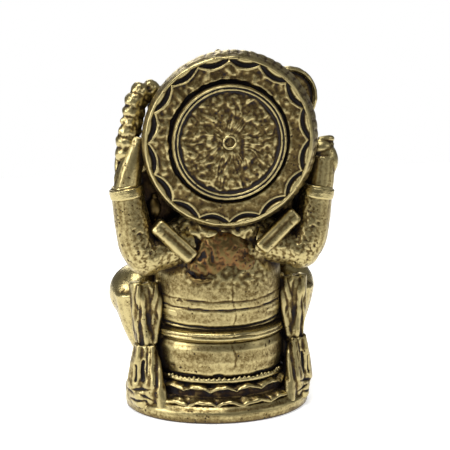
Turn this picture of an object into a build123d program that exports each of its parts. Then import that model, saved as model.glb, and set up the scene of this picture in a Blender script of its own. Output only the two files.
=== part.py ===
"""Small brass statue of a seated, elephant-headed Hindu deity with a round halo plate behind the head.

Millimetres. The statue faces -Y, its left hand is on +X, and +Z is up. The origin is the middle of the
flat underside. Each piece is its own solid: a later piece is cut back where it meets the earlier ones,
so the pieces touch face to face and none overlap.
"""

import math
import os

from build123d import *

# ---- driving dimensions -------------------------------------------------------------------------
BASE_WIDTH = 24.6
BASE_DEPTH = 21.2
PLINTH_TOP = 2.2
LOTUS_TOP = 3.3
PAD_TOP = 4.1
HEM_TOP = 5.1
HIP_TOP = 10.2
SASH_TOP = 11.7
BELT_BOTTOM = 13.1
BELT_TOP = 14.3

HALO_HEIGHT = 36.4
HALO_RADIUS = 11.4
HALO_FRONT = 5.4
HALO_BACK = 8.1
HALO_PLATE_RADIUS = 10.5
SCALLOPS = 16
MEDALLION_RADIUS = 7.35
GROOVE_WIDTH = 0.4
RIVET_RADIUS = 0.55

# The left arm and leg: the right ones are mirror images, apart from the wrists.
ELBOW = (10.2, 4.6, 21.4)
WRISTS = {1: (12.9, 4.4, 29.6), -1: (12.8, 4.4, 28.8)}
FRONT_ELBOW = (8.6, -3.2, 17.4)
FRONT_WRISTS = {1: (6.4, -8.6, 16.6), -1: (6.9, -7.9, 18.4)}
BOWL_FOOT = (5.2, -9.8, 16.95)
KNEE = (9.8, -3.8, 14.4)
KNEE_RADIUS = 4.2
DRAPE_WAIST = (9.9, 3.2, 8.8)
DRAPE_WAIST_SIZE = (0.95, 1.4)
SIDES = {"left": 1, "right": -1}

# Oval sections of the body's skin: height, middle y, half-width, half-depth.
BODY_SECTIONS = [
    (SASH_TOP, 0.3, 8.2, 7.2), (14.5, -0.4, 8.5, 7.4), (17.5, -0.3, 8.4, 7.3), (20.5, 0.7, 8.1, 6.4),
    (23.0, 1.8, 7.5, 5.1), (25.2, 1.9, 6.4, 4.3), (27.6, 1.6, 4.6, 4.0),
]
# Middle line and radii of the elephant's trunk, from the brow down.
TRUNK_LINE = [
    (0, -3.6, 32.0), (0, -5.9, 29.6), (0, -7.4, 26.4), (0.1, -8.4, 22.8), (0.9, -9.3, 19.8), (2.9, -10.0, 18.9),
]
TRUNK_RADII = [2.0, 1.9, 1.6, 1.35, 1.15, 0.85]

# A cut leaves crumbs: solids smaller than this share of the piece are dropped.
CRUMB_SHARE = 0.02


# ---- shapes that repeat -------------------------------------------------------------------------
def egg(centre, across, along, axis=(0, 0, 1)):
    """A round-sectioned egg: a half-length across its axis and another along it."""
    with BuildPart() as part:
        with BuildSketch(Plane.XZ):
            with BuildLine():
                EllipticalCenterArc((0, 0), across, along, start_angle=-90, arc_size=180)
                Line((0, along), (0, -along))
            make_face()
        revolve(axis=Axis.Z)
    return Plane(origin=centre, z_dir=axis) * part.part


def plate(half_width, half_height, thickness, edge):
    """A flat oval plate about +Z with rounded edges."""
    leaf = extrude(Ellipse(half_width, half_height), thickness / 2, both=True)
    return fillet(leaf.edges(), edge)


def limb(start, end, start_radius, end_radius):
    """A round limb that tapers between two ball ends."""
    start, end = Vector(*start), Vector(*end)
    axis = end - start
    length = axis.length
    lean = math.asin((start_radius - end_radius) / length)
    side, rise = math.cos(lean), math.sin(lean)
    low_mid = ((lean - math.pi / 2) / 2, start_radius, 0)
    high_mid = ((lean + math.pi / 2) / 2, end_radius, length)
    low, high = [(r * math.cos(a), r * math.sin(a) + z) for a, r, z in (low_mid, high_mid)]
    with BuildPart() as part:
        with BuildSketch(Plane.XZ):
            with BuildLine():
                foot = ThreePointArc((0, -start_radius), low, (start_radius * side, start_radius * rise))
                flank = Line(foot @ 1, (end_radius * side, length + end_radius * rise))
                ThreePointArc(flank @ 1, high, (0, length + end_radius))
                Line((0, length + end_radius), (0, -start_radius))
            make_face()
        revolve(axis=Axis.Z)
    return Plane(origin=start, z_dir=axis.normalized()) * part.part


def oval(bottom, top, half_width, half_depth, centre_y=0.0, low_fillet=0.0, high_fillet=0.0):
    """An upright oval disc between two heights, with its edges rounded where asked."""
    disc = Pos(0, centre_y, bottom) * extrude(Ellipse(half_width, half_depth), top - bottom)
    if low_fillet:
        disc = fillet(disc.edges().sort_by(Axis.Z)[0], low_fillet)
    if high_fillet:
        disc = fillet(disc.edges().sort_by(Axis.Z)[-1], high_fillet)
    return disc


def hoop(centre, axis, radius, thickness):
    """A round bangle about an axis."""
    return Plane(origin=centre, z_dir=axis) * Torus(radius, thickness)


def tube(points, radii):
    """A tapering tube through these points, with a round section at each."""
    path = Spline(*[Vector(*p) for p in points])
    places = [path.position_at(path.param_at_point(Vector(*p))) for p in points]
    sections = []
    for place, point, radius in zip(places, points, radii, strict=True):
        direction = path.tangent_at(path.param_at_point(Vector(*point)))
        sections.append(Plane(origin=place, z_dir=direction) * Circle(radius))
    return loft(sections)


def mirrored(shape, side):
    """The left piece as it stands, or its mirror image for the right."""
    return shape if side > 0 else mirror(shape, about=Plane.YZ)


def on_halo(shape):
    """Turns a shape made about +Z so that it stands about the halo's axis, its top to the back."""
    return Plane(origin=(0, 0, HALO_HEIGHT), z_dir=(0, 1, 0), x_dir=(-1, 0, 0)) * shape


def disc(radius, front, back):
    """A round plate about the halo's axis between two depths, still about +Z."""
    return Pos(0, 0, front) * extrude(Circle(radius), back - front)


# ---- the seat -----------------------------------------------------------------------------------
def base_plinth():
    """The flat-bottomed oval foot."""
    return oval(0, PLINTH_TOP, BASE_WIDTH / 2, BASE_DEPTH / 2, low_fillet=0.5, high_fillet=0.4)


def lotus_band():
    """The petal row on the foot."""
    return oval(PLINTH_TOP, LOTUS_TOP, BASE_WIDTH / 2 - 0.7, BASE_DEPTH / 2 - 0.6, high_fillet=0.3)


def seat_pad():
    """The recessed seat between the petals and the cloth."""
    return oval(LOTUS_TOP, PAD_TOP, BASE_WIDTH / 2 - 2.6, BASE_DEPTH / 2 - 1.7)


def dhoti_hem():
    """The spread edge of the waist cloth."""
    return oval(PAD_TOP, HEM_TOP, BASE_WIDTH / 2 - 2.3, BASE_DEPTH / 2 - 1.3, high_fillet=0.4)


def hem_beads():
    """The beaded trim round the back of the hem."""
    count = 27
    beads = []
    for i in range(count):
        angle = math.radians(90 + (i - count // 2) * 4.6)
        place = (9.25 * math.cos(angle), 0.6 + 8.3 * math.sin(angle), HEM_TOP + 0.42)
        beads.append(Pos(*place) * Sphere(0.3))
    return Compound(beads)


# ---- the body -----------------------------------------------------------------------------------
def hips():
    """The barrel of the hips under the waist cloth."""
    return oval(HEM_TOP, HIP_TOP, 8.7, 7.9, centre_y=0.5, low_fillet=2.2, high_fillet=0.5)


def waist_sash():
    """The rolled sash over the hips."""
    return oval(HIP_TOP, SASH_TOP, 8.8, 8.0, centre_y=0.5, low_fillet=0.5, high_fillet=0.6)


def body_skin(grow=0.0):
    """The broad back, round belly and neck, let out all round by this much."""
    return loft([Pos(0, y, z) * Ellipse(width + grow, depth + grow) for z, y, width, depth in BODY_SECTIONS])


def waist_belt():
    """The plain belt above the sash."""
    return oval(BELT_BOTTOM, BELT_TOP, 8.75, 7.2, centre_y=0.45, low_fillet=0.3, high_fillet=0.3)


def necklace():
    """The broad collar that dips over the chest."""
    dip = Pos(0, -3.0, 21.9) * Rot(24, 0, 0) * Box(20, 14, 1.7)
    return body_skin(grow=0.5) & dip


def scarf_end():
    """The rough scarf end on the upper back, below the nape."""
    top, bottom = [(-3.4, 24.2), (3.6, 24.2)], [(4.4, 19.2), (2.2, 18.2), (-1.0, 19.0), (-3.8, 20.6)]
    outline = Polyline(*top, *bottom, close=True)
    return extrude(Plane.XZ.offset(-4.8) * make_face(outline), -2.4)


def thigh(side):
    """From the hip out to the raised knee."""
    return mirrored(limb((4.6, 0.4, 9.4), KNEE, 4.1, KNEE_RADIUS), side)


def shin(side):
    """From the knee down and in to the ankle."""
    return mirrored(limb((9.4, -4.6, 11.8), (4.4, -6.0, 7.0), 3.2, 1.7), side)


def foot(side):
    """A bare foot turned out on the seat's front edge."""
    return mirrored(limb((4.1, -6.4, 6.4), (4.9, -9.0, 6.1), 1.3, 0.95), side)


def anklets():
    """The two anklets."""
    axis = Vector(4.7, 1.4, 4.2)
    left = hoop((4.9, -5.85, 7.45), axis, 1.85, 0.42)
    return Compound([left, mirror(left, about=Plane.YZ)])


def front_drape():
    """The pleated end of the waist cloth, hanging between the shins."""
    return Pos(0, -7.4, 7.0) * fillet(Box(4.4, 2.6, 4.4).edges(), 0.8)


def side_drape(side):
    """The gathered cloth that falls behind the knee."""
    top = Pos(9.9, 1.2, 16.6) * Ellipse(1.7, 2.5)
    middle = Pos(10.1, 2.0, 12.6) * Ellipse(1.5, 2.1)
    waist = Pos(*DRAPE_WAIST) * Ellipse(*DRAPE_WAIST_SIZE)
    return mirrored(loft([top, middle, waist]), side)


def sash_tail(side):
    """The fanned sash end that comes down on the base."""
    waist = Pos(*DRAPE_WAIST) * Ellipse(*DRAPE_WAIST_SIZE)
    middle = Pos(10.0, 2.9, 5.4) * Ellipse(1.7, 2.6)
    fan = Pos(9.9, 2.4, PLINTH_TOP) * Ellipse(2.1, 3.9)
    return mirrored(loft([waist, middle, fan]), side)


# ---- the raised rear arms -----------------------------------------------------------------------
def rear_upper_arm(side):
    """From the shoulder out to the elbow."""
    return mirrored(limb((5.2, 3.6, 22.4), ELBOW, 2.7, 2.5), side)


def rear_forearm(side):
    """From the elbow up to the wrist."""
    return mirrored(limb(ELBOW, WRISTS[side], 2.7, 2.0), side)


def rear_bangle(side):
    """A plain band round the raised wrist."""
    axis = Vector(*WRISTS[side]) - Vector(*ELBOW)
    return mirrored(hoop(WRISTS[side], axis, 1.9, 0.4), side)


def rear_hand(side):
    """The raised hand: an open palm on the left, a fist on the right."""
    if side > 0:
        return egg((12.5, 4.2, 32.8), 1.5, 3.2, axis=(-0.15, 0, 1))
    return egg((-13.2, 4.2, 32.9), 1.6, 3.0)


def noose():
    """The rope loop in the left hand, leaning in behind the halo."""
    bend, length, rope = 2.0, 9.0, 1.3
    path = SlotOverall(length, 2 * bend).wire()
    start = path.position_at(0)
    loop = sweep(Plane(origin=start, z_dir=path.tangent_at(0)) * Circle(rope), path=path)
    return Pos(10.6, 3.0, 37.5) * Rot(0, 0, 18) * Rot(0, -14, 0) * Rot(90, 0, 0) * Rot(0, 0, 90) * loop


def axe_handle():
    """The straight handle through the right fist."""
    return limb((-13.7, 2.9, 29.9), (-8.6, 2.9, 42.0), 0.55, 0.55)


def axe_blade():
    """The round axe head with a raised rim and sunken cheeks."""
    blade = extrude(Circle(3.9), 0.7, both=True)
    cheek = extrude(Circle(3.2), 0.3)
    for offset in (0.45, -0.75):
        blade -= Pos(0, 0, offset) * cheek
    return Pos(-8.8, 2.9, 41.3) * Rot(90, 0, 0) * blade


def epaulette(side):
    """The bar-shaped shoulder ornament that rises outwards beside the nape."""
    length, width, height = 6.6, 2.2, 1.8
    bar = fillet(Box(length, width, height).edges(), 0.45)
    height_above_base = 23.5 if side > 0 else 24.2
    return mirrored(Pos(6.6, 6.1, height_above_base) * Rot(0, -44, 0) * Rot(90, 0, 0) * bar, side)


# ---- the lower front arms -----------------------------------------------------------------------
def front_upper_arm(side):
    """From the shoulder down beside the chest."""
    return mirrored(limb((5.6, 0.4, 22.4), FRONT_ELBOW, 2.5, 2.1), side)


def front_forearm(side):
    """From the elbow forward to the wrist."""
    return mirrored(limb(FRONT_ELBOW, FRONT_WRISTS[side], 2.1, 1.5), side)


def front_bangles():
    """The two wrist bangles of the front arms."""
    hoops = []
    for side, wrist in FRONT_WRISTS.items():
        axis = Vector(*wrist) - Vector(*FRONT_ELBOW)
        hoops.append(mirrored(hoop(wrist, axis, 1.45, 0.4), side))
    return Compound(hoops)


def front_hand(side):
    """The left palm turned up under the bowl, or the right palm raised in blessing."""
    if side > 0:
        return egg((5.4, -9.6, 16.2), 1.85, 0.9)
    return egg((-6.7, -8.9, 20.8), 1.2, 2.4)


def sweet_bowl():
    """The shallow bowl on the left palm."""
    with BuildPart() as bowl:
        with BuildSketch(Plane.XZ):
            with BuildLine():
                Polyline((0, 0), (1.1, 0), (2.0, 1.3), (1.75, 1.3), (0.95, 0.35), (0, 0.35), close=True)
            make_face()
        revolve(axis=Axis.Z)
    return Pos(*BOWL_FOOT) * bowl.part


def sweets():
    """The heap of round sweets that fills the bowl."""
    with BuildPart() as heap:
        with BuildSketch(Plane.XZ):
            with BuildLine():
                bowl_side = Polyline((0, 0.35), (0.95, 0.35), (1.55, 1.0625))
                ThreePointArc(bowl_side @ 1, (1.05, 2.0), (0, 2.4))
                Line((0, 2.4), (0, 0.35))
            make_face()
        revolve(axis=Axis.Z)
    return Pos(*BOWL_FOOT) * heap.part


# ---- the head -----------------------------------------------------------------------------------
def head():
    """The elephant's skull, with its two brow domes and its cheeks."""
    skull = egg((0, 0.7, 32.2), 4.9, 5.5, axis=(0, 1, 0))
    brow = egg((0, -2.4, 33.6), 2.8, 3.6, axis=(1, 0, 0))
    cheeks = egg((0, -2.0, 30.2), 2.9, 3.8, axis=(1, 0, 0))
    return skull + brow + cheeks


def trunk():
    """The trunk, hanging over the belly and curling to the left towards the bowl."""
    return tube(TRUNK_LINE, TRUNK_RADII)


def ear(side):
    """The broad ear, spread flat in front of the halo."""
    fan = plate(4.1, 5.8, 1.3, 0.5)
    return mirrored(Pos(7.4, 1.8, 30.2) * Rot(90, 0, 14) * Rot(0, 0, -12) * fan, side)


def ear_pendants():
    """The drop below each ear."""
    left = egg((8.8, 2.8, 26.8), 0.95, 1.4)
    return Compound([left, mirror(left, about=Plane.YZ)])


def tusk(side):
    """The whole left tusk, or the right one, which is broken short."""
    tip, radius = ((3.3, -8.6, 27.6), 0.3) if side > 0 else ((2.9, -6.7, 28.6), 0.5)
    return mirrored(limb((2.3, -3.9, 29.9), tip, 0.7, radius), side)


def crown_band():
    """The jewelled band round the brow."""
    return Pos(0, 1.0, 36.6) * fillet(Cylinder(4.0, 1.6).edges(), 0.35)


def crown():
    """The tiered crown and its bud."""
    with BuildPart() as tiers:
        with BuildSketch(Plane.XZ):
            with BuildLine():
                steps = Polyline((0, 0), (3.4, 0), (3.7, 1.0), (2.9, 2.6), (2.5, 2.7), (2.8, 3.6), (2.0, 5.1))
                bud = Polyline(steps @ 1, (1.7, 5.2), (1.9, 6.0), (1.1, 7.3), (0.7, 7.5))
                top = Polyline(bud @ 1, (1.0, 8.3), (0.6, 9.4), (0, 9.9))
                Line(top @ 1, (0, 0))
            make_face()
        revolve(axis=Axis.Z)
    return Pos(0, 1.0, 37.4) * tiers.part


# ---- the halo -----------------------------------------------------------------------------------
def halo_medallion():
    """The inner round relief with its raised edge ring."""
    body = disc(MEDALLION_RADIUS, 7.2, 8.9) - disc(MEDALLION_RADIUS - 0.6, 8.5, 9.0)
    return on_halo(body - disc(RIVET_RADIUS, 7.0, 9.0))


def halo_plate():
    """The annular plate with a sunken scallop behind each of its points."""
    plate = disc(HALO_PLATE_RADIUS, 6.2, 8.2)
    plate -= disc(MEDALLION_RADIUS + GROOVE_WIDTH, 7.6, 9.0)
    plate -= disc(MEDALLION_RADIUS, 7.2, 9.0)
    plate -= disc(RIVET_RADIUS, 6.0, 9.0)
    bite = Pos(11.0, 0, 7.5) * extrude(Ellipse(1.25, 1.75), 1.0)
    for i in range(SCALLOPS):
        plate -= Rot(0, 0, (i + 0.5) * 360 / SCALLOPS) * bite
    return on_halo(plate)


def halo_rim():
    """The deep bevelled rim."""
    with BuildPart() as rim:
        with BuildSketch(Plane.XZ):
            with BuildLine():
                inner = HALO_PLATE_RADIUS
                Polyline(
                    (inner, HALO_FRONT), (HALO_RADIUS, HALO_FRONT), (HALO_RADIUS, HALO_FRONT + 0.9),
                    (inner + 0.35, HALO_BACK), (inner, HALO_BACK), close=True,
                )
            make_face()
        revolve(axis=Axis.Z)
    return on_halo(rim.part)


def halo_rivet():
    """The rivet that holds medallion and plate to the back of the head."""
    shank = disc(RIVET_RADIUS, 4.6, 8.5)
    button = disc(0.85, 8.5, 8.95) - disc(0.4, 8.7, 9.0)
    return on_halo(shank + button)


# ---- assembly -----------------------------------------------------------------------------------
def pairs(name, maker):
    """The left and the right piece of one kind, as (name, solid)."""
    return [(f"{name}_{word}", maker(side)) for word, side in SIDES.items()]


def all_pieces():
    """Every piece in the order of cutting: a later piece gives way to the earlier ones."""
    return [
        ("base_plinth", base_plinth()), ("lotus_band", lotus_band()), ("seat_pad", seat_pad()),
        ("dhoti_hem", dhoti_hem()), ("hips", hips()), ("waist_sash", waist_sash()), ("torso", body_skin()),
        ("halo_rivet", halo_rivet()), ("halo_medallion", halo_medallion()), ("halo_plate", halo_plate()),
        ("halo_rim", halo_rim()), ("head", head()),
        *pairs("thigh", thigh), *pairs("shin", shin), *pairs("foot", foot),
        *pairs("sash_tail", sash_tail), *pairs("side_drape", side_drape),
        *pairs("rear_forearm", rear_forearm), *pairs("rear_upper_arm", rear_upper_arm),
        *pairs("rear_hand", rear_hand), *pairs("rear_bangle", rear_bangle),
        ("noose", noose()), ("axe_handle", axe_handle()), ("axe_blade", axe_blade()),
        *pairs("front_upper_arm", front_upper_arm), *pairs("front_forearm", front_forearm),
        ("sweet_bowl", sweet_bowl()), *pairs("front_hand", front_hand), ("sweets", sweets()),
        ("trunk", trunk()), *pairs("tusk", tusk), ("ear_pendants", ear_pendants()), *pairs("ear", ear),
        ("crown_band", crown_band()), ("crown", crown()),
        *pairs("epaulette", epaulette), ("scarf_end", scarf_end()),
        ("waist_belt", waist_belt()), ("necklace", necklace()), ("front_drape", front_drape()),
        ("anklets", anklets()), ("front_bangles", front_bangles()), ("hem_beads", hem_beads()),
    ]


def boxes_meet(a, b):
    """Whether two bounding boxes share any space."""
    low = zip(tuple(a.min), tuple(b.max))
    high = zip(tuple(b.min), tuple(a.max))
    return all(p < q for p, q in (*low, *high))


def cut_back(shape, earlier):
    """The shape without what earlier solids fill, and without the crumbs that the cut leaves."""
    box = shape.bounding_box()
    crumb = CRUMB_SHARE * shape.volume
    for other, other_box in earlier:
        if boxes_meet(box, other_box):
            shape = shape - other
    kept = [solid for solid in shape.solids() if solid.volume > crumb]
    return kept[0] if len(kept) == 1 else Compound(kept)


os.makedirs("parts", exist_ok=True)
finished = []
for name, whole in all_pieces():
    piece = cut_back(whole, finished)
    finished.append((piece, piece.bounding_box()))
    export_step(piece, f"parts/{name}.step")
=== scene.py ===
"""The finished look of a small lost-wax brass figurine: a seated elephant-headed deity with a round halo.

Every piece is modelled in millimetres in the figurine's own frame (it faces -Y, its left is +X, +Z is up),
the way a wax model is made: lumps, rolls and turned discs are fused, relief is pressed into them, and the
piece is then brought to metres around the fixed CAD frame.
"""

import math

import bpy
import numpy as np
from mathutils import Matrix, Vector


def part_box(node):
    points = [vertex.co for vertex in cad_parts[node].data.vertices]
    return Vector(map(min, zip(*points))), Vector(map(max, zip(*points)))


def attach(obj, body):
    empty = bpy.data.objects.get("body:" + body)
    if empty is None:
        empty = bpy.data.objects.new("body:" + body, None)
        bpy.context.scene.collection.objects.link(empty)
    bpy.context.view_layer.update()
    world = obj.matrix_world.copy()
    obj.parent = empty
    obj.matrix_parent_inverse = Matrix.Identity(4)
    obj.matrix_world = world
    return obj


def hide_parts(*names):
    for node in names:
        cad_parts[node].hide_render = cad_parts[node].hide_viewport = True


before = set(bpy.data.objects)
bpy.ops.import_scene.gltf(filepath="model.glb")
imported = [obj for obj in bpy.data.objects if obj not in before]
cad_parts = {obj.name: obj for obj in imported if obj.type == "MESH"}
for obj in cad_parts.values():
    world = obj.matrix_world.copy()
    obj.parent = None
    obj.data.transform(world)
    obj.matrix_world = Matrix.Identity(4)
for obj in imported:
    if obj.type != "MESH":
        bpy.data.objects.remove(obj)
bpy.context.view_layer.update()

bl_info = {
    "name": "Cast Brass Deity Figurine",
    "version": (1, 0, 0),
    "blender": (4, 5, 0),
    "location": "View3D > Sidebar > Figurine",
    "description": "Models a small lost-wax brass figurine around its CAD frame",
    "category": "Add Mesh",
}

MM = 0.001
SEED = 7
# The most rings that one straight stretch of a turned outline is divided into.
MOST_RINGS = 28
# Points round a hoop of wax; the last one closes it.
HOOP_POINTS = 25
# How far behind the body's axis the crown's axis lies, in mm.
CROWN_BACK = 1.0


def linear(code):
    """An sRGB hex colour as linear RGBA."""
    parts = [int(code[i:i + 2], 16) / 255 for i in (1, 3, 5)]
    return (*[c / 12.92 if c <= 0.04045 else ((c + 0.055) / 1.055) ** 2.4 for c in parts], 1.0)


def node_size(node):
    """The width, depth and height of a CAD node, in metres."""
    low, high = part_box(node)
    return [b - a for a, b in zip(low, high)]


# ---- what a user would change -------------------------------------------------------------------
class FigurineSizes(bpy.types.PropertyGroup):
    halo_radius: bpy.props.FloatProperty(
        name="Halo radius", description="Outer radius of the halo's rim",
        default=node_size("halo_rim")[2] / 2, min=0.008, max=0.013, unit="LENGTH",
    )
    halo_height: bpy.props.FloatProperty(
        name="Halo height", description="Height of the halo's centre above the underside",
        default=(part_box("halo_rim")[0][2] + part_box("halo_rim")[1][2]) / 2, min=0.03, max=0.04, unit="LENGTH",
    )
    halo_scallops: bpy.props.IntProperty(
        name="Scallops", description="Sunken crescents round the halo", default=16, min=8, max=24,
    )
    flame_petals: bpy.props.IntProperty(
        name="Flame petals", description="Clusters of flames on the medallion", default=9, min=5, max=14,
    )
    rope_radius: bpy.props.FloatProperty(
        name="Rope radius", description="Radius of the noose's rope", default=0.0013, min=0.0008, max=0.0015,
        unit="LENGTH",
    )
    base_width: bpy.props.FloatProperty(
        name="Base width", description="Width of the oval foot", default=node_size("base_plinth")[0],
        min=0.02, max=0.03, unit="LENGTH",
    )
    base_depth: bpy.props.FloatProperty(
        name="Base depth", description="Depth of the oval foot", default=node_size("base_plinth")[1],
        min=0.016, max=0.026, unit="LENGTH",
    )
    petals: bpy.props.IntProperty(
        name="Petals", description="Leaves round the foot and round the cloth's edge",
        default=18, min=8, max=32,
    )
    teeth: bpy.props.IntProperty(
        name="Trim teeth", description="Teeth of the trim across the back of the cloth",
        default=27, min=9, max=41,
    )


class FigurineColours(bpy.types.PropertyGroup):
    rubbed: bpy.props.FloatVectorProperty(
        name="Rubbed brass", description="Brass on the edges that hands have rubbed bright",
        subtype="COLOR", size=4, default=linear("#B9AA78"), min=0, max=1,
    )
    golden: bpy.props.FloatVectorProperty(
        name="Aged brass", description="Olive gold of the open surfaces",
        subtype="COLOR", size=4, default=linear("#6C5B37"), min=0, max=1,
    )
    tarnished: bpy.props.FloatVectorProperty(
        name="Tarnish", description="Brown tarnish at the foot of the relief",
        subtype="COLOR", size=4, default=linear("#3F3122"), min=0, max=1,
    )
    blackened: bpy.props.FloatVectorProperty(
        name="Patina", description="Purple-black patina left in the deepest hollows",
        subtype="COLOR", size=4, default=linear("#191214"), min=0, max=1,
    )
    ruddy: bpy.props.FloatVectorProperty(
        name="Ruddy brass", description="Copper-brown brass of the scarf end",
        subtype="COLOR", size=4, default=linear("#7A5836"), min=0, max=1,
    )
    floor: bpy.props.FloatVectorProperty(
        name="Floor", description="Pale floor under the figurine",
        subtype="COLOR", size=4, default=linear("#F7F7F7"), min=0, max=1,
    )


# Axes at no simple angle to the figurine's, so that no grain lines up with it.
ODD_AXES = np.array(((0.36, 0.48, -0.8), (-0.8, 0.6, 0), (0.48, 0.64, 0.6)))


# ---- wax tools: every length below is in millimetres ------------------------------------------------
def deselect_all():
    """Object mode, with nothing selected."""
    if bpy.context.object and bpy.context.object.mode != "OBJECT":
        bpy.ops.object.mode_set(mode="OBJECT")
    bpy.ops.object.select_all(action="DESELECT")


def choose(*pieces):
    """Selects only these pieces, the first one active."""
    deselect_all()
    for piece in pieces:
        piece.select_set(True)
    bpy.context.view_layer.objects.active = pieces[0]


def lump(centre, size, turn=(0, 0, 0)):
    """A ball of wax pressed to these half-sizes and turned by these degrees."""
    deselect_all()
    bpy.ops.mesh.primitive_uv_sphere_add(
        segments=32, ring_count=20, radius=1, location=centre, scale=size,
        rotation=[math.radians(angle) for angle in turn],
    )
    return bpy.context.object


def roll(points, radii):
    """A roll of wax along a smooth line through these points, with its radius at each."""
    deselect_all()
    curve = bpy.data.curves.new("roll", "CURVE")
    curve.dimensions = "3D"
    curve.bevel_depth = 1
    curve.bevel_resolution = 6
    curve.resolution_u = 10
    curve.use_fill_caps = True
    line = curve.splines.new("NURBS")
    line.points.add(len(points) - 1)
    for spot, point, radius in zip(line.points, points, radii, strict=True):
        spot.co = (*point, 1)
        spot.radius = radius
    line.order_u = 3
    line.use_endpoint_u = True
    rolled = bpy.data.objects.new("roll", curve)
    bpy.context.collection.objects.link(rolled)
    choose(rolled)
    bpy.ops.object.convert(target="MESH")
    return bpy.context.object


def hoop(middle, lean, radius, thick):
    """A closed roll of wax round an axis that leans this way."""
    across = lean.orthogonal().normalized()
    other = lean.cross(across)
    spots = [
        tuple(middle + radius * (across * math.cos(turn) + other * math.sin(turn)))
        for turn in np.linspace(0, 2 * math.pi, HOOP_POINTS)
    ]
    return roll(spots, [thick] * HOOP_POINTS)


def slab(centre, size, turn=(0, 0, 0), edge=0.3):
    """A block of wax with rounded edges."""
    deselect_all()
    bpy.ops.mesh.primitive_cube_add(
        size=1, location=centre, scale=size, rotation=[math.radians(angle) for angle in turn],
    )
    block = bpy.context.object
    bpy.ops.object.transform_apply(location=False, rotation=False, scale=True)
    rounding = block.modifiers.new("rounding", "BEVEL")
    rounding.width = edge
    rounding.segments = 4
    bpy.ops.object.modifier_apply(modifier=rounding.name)
    return block


def soften_skin(piece, passes):
    """Strokes a piece smooth this many times."""
    soft = piece.modifiers.new("soft", "SMOOTH")
    soft.factor = 0.5
    soft.iterations = passes
    bpy.ops.object.modifier_apply(modifier=soft.name)


def fuse(name, parts, grain=0.2, soften=4):
    """Melts lumps and rolls into one closed skin of this grain, and softens it."""
    choose(*parts)
    bpy.ops.object.join()
    piece = bpy.context.object
    piece.name = name
    bpy.ops.object.transform_apply(location=True, rotation=True, scale=True)
    melt = piece.modifiers.new("melt", "REMESH")
    melt.mode = "VOXEL"
    melt.voxel_size = grain
    bpy.ops.object.modifier_apply(modifier=melt.name)
    soften_skin(piece, soften)
    return piece


def divided(outline, step):
    """The same outline with points at most this far apart."""
    dense = [outline[0]]
    for (r0, z0), (r1, z1) in zip(outline, outline[1:]):
        count = min(MOST_RINGS, max(1, round(math.hypot(r1 - r0, z1 - z0) / step)))
        dense += [(r0 + (r1 - r0) * i / count, z0 + (z1 - z0) * i / count) for i in range(1, count + 1)]
    return dense


def turn_on_lathe(name, outline, steps, step=0.2, oval=(1, 1), soften=3):
    """A turned piece about the upright axis: its outline of (radius, height) starts and ends on the axis,
    or comes back to where it started for a ring."""
    deselect_all()
    bpy.ops.mesh.primitive_plane_add(size=1, location=(0, 0, 0))
    piece = bpy.context.object
    piece.name = name
    bpy.ops.object.mode_set(mode="EDIT")
    bpy.ops.mesh.select_all(action="SELECT")
    bpy.ops.mesh.merge(type="CENTER")
    dense = divided(outline, step)
    bpy.ops.transform.translate(value=(dense[0][0], 0, dense[0][1]))
    for (r0, z0), (r1, z1) in zip(dense, dense[1:]):
        bpy.ops.mesh.extrude_region_move(TRANSFORM_OT_translate={"value": (r1 - r0, 0, z1 - z0)})
    bpy.ops.object.mode_set(mode="OBJECT")
    lathe = piece.modifiers.new("lathe", "SCREW")
    lathe.steps = lathe.render_steps = steps
    bpy.ops.object.modifier_apply(modifier=lathe.name)
    bpy.ops.object.mode_set(mode="EDIT")
    bpy.ops.mesh.select_all(action="SELECT")
    bpy.ops.mesh.remove_doubles(threshold=0.0005)
    bpy.ops.mesh.normals_make_consistent(inside=False)
    bpy.ops.transform.resize(value=(*oval, 1), center_override=(0, 0, 0))
    bpy.ops.object.mode_set(mode="OBJECT")
    soften_skin(piece, soften)
    return piece


def place(piece, location, matrix=None, turn=(0, 0, 0)):
    """Moves a piece from the bench to its place on the figurine and keeps that place in its mesh."""
    choose(piece)
    spin = matrix or Matrix.Rotation(math.radians(turn[2]), 4, "Z") @ Matrix.Rotation(
        math.radians(turn[1]), 4, "Y") @ Matrix.Rotation(math.radians(turn[0]), 4, "X")
    piece.matrix_world = Matrix.Translation(location) @ spin
    bpy.ops.object.transform_apply(location=True, rotation=True, scale=True)
    return piece


def points_of(piece):
    """The piece's points and normals, as two arrays."""
    piece.data.update()
    count = len(piece.data.vertices)
    points, normals = np.empty(count * 3), np.empty(count * 3)
    piece.data.vertices.foreach_get("co", points)
    piece.data.vertices.foreach_get("normal", normals)
    return points.reshape(-1, 3), normals.reshape(-1, 3)


def set_points(piece, points):
    """Moves the piece's points to these places."""
    piece.data.vertices.foreach_set("co", points.ravel())
    piece.data.update()
    return piece


def press(piece, relief):
    """Presses relief into a piece: relief(x, y, z) gives how far each point moves outwards."""
    points, normals = points_of(piece)
    return set_points(piece, points + normals * relief(*points.T)[:, None])


def grit(x, y, z, size, seed=0):
    """Smooth random values from -1 to 1, with grains of this size."""
    cell = np.stack([x, y, z], axis=1) @ ODD_AXES / size + 1000
    corner = np.floor(cell).astype(np.int64)
    part = cell - corner
    part = part * part * (3 - 2 * part)
    total = np.zeros(len(cell))
    # Each corner of a cell gets its own random value: large odd factors scatter neighbouring corners.
    for offset in np.ndindex(2, 2, 2):
        key = (corner + offset) @ np.array([73856093, 19349663, 83492791]) + (seed + SEED) * 6151
        key = (key ^ (key >> 13)) * 1274126177 & 0x7FFFFFFF
        weight = np.prod(np.where(offset, part, 1 - part), axis=1)
        total += weight * ((key ^ (key >> 16)) % 65536 / 32768 - 1)
    return total


def band(value, middle, width):
    """A soft bump of height 1 where a value is near the middle."""
    return np.exp(-((value - middle) / width) ** 2)


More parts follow.
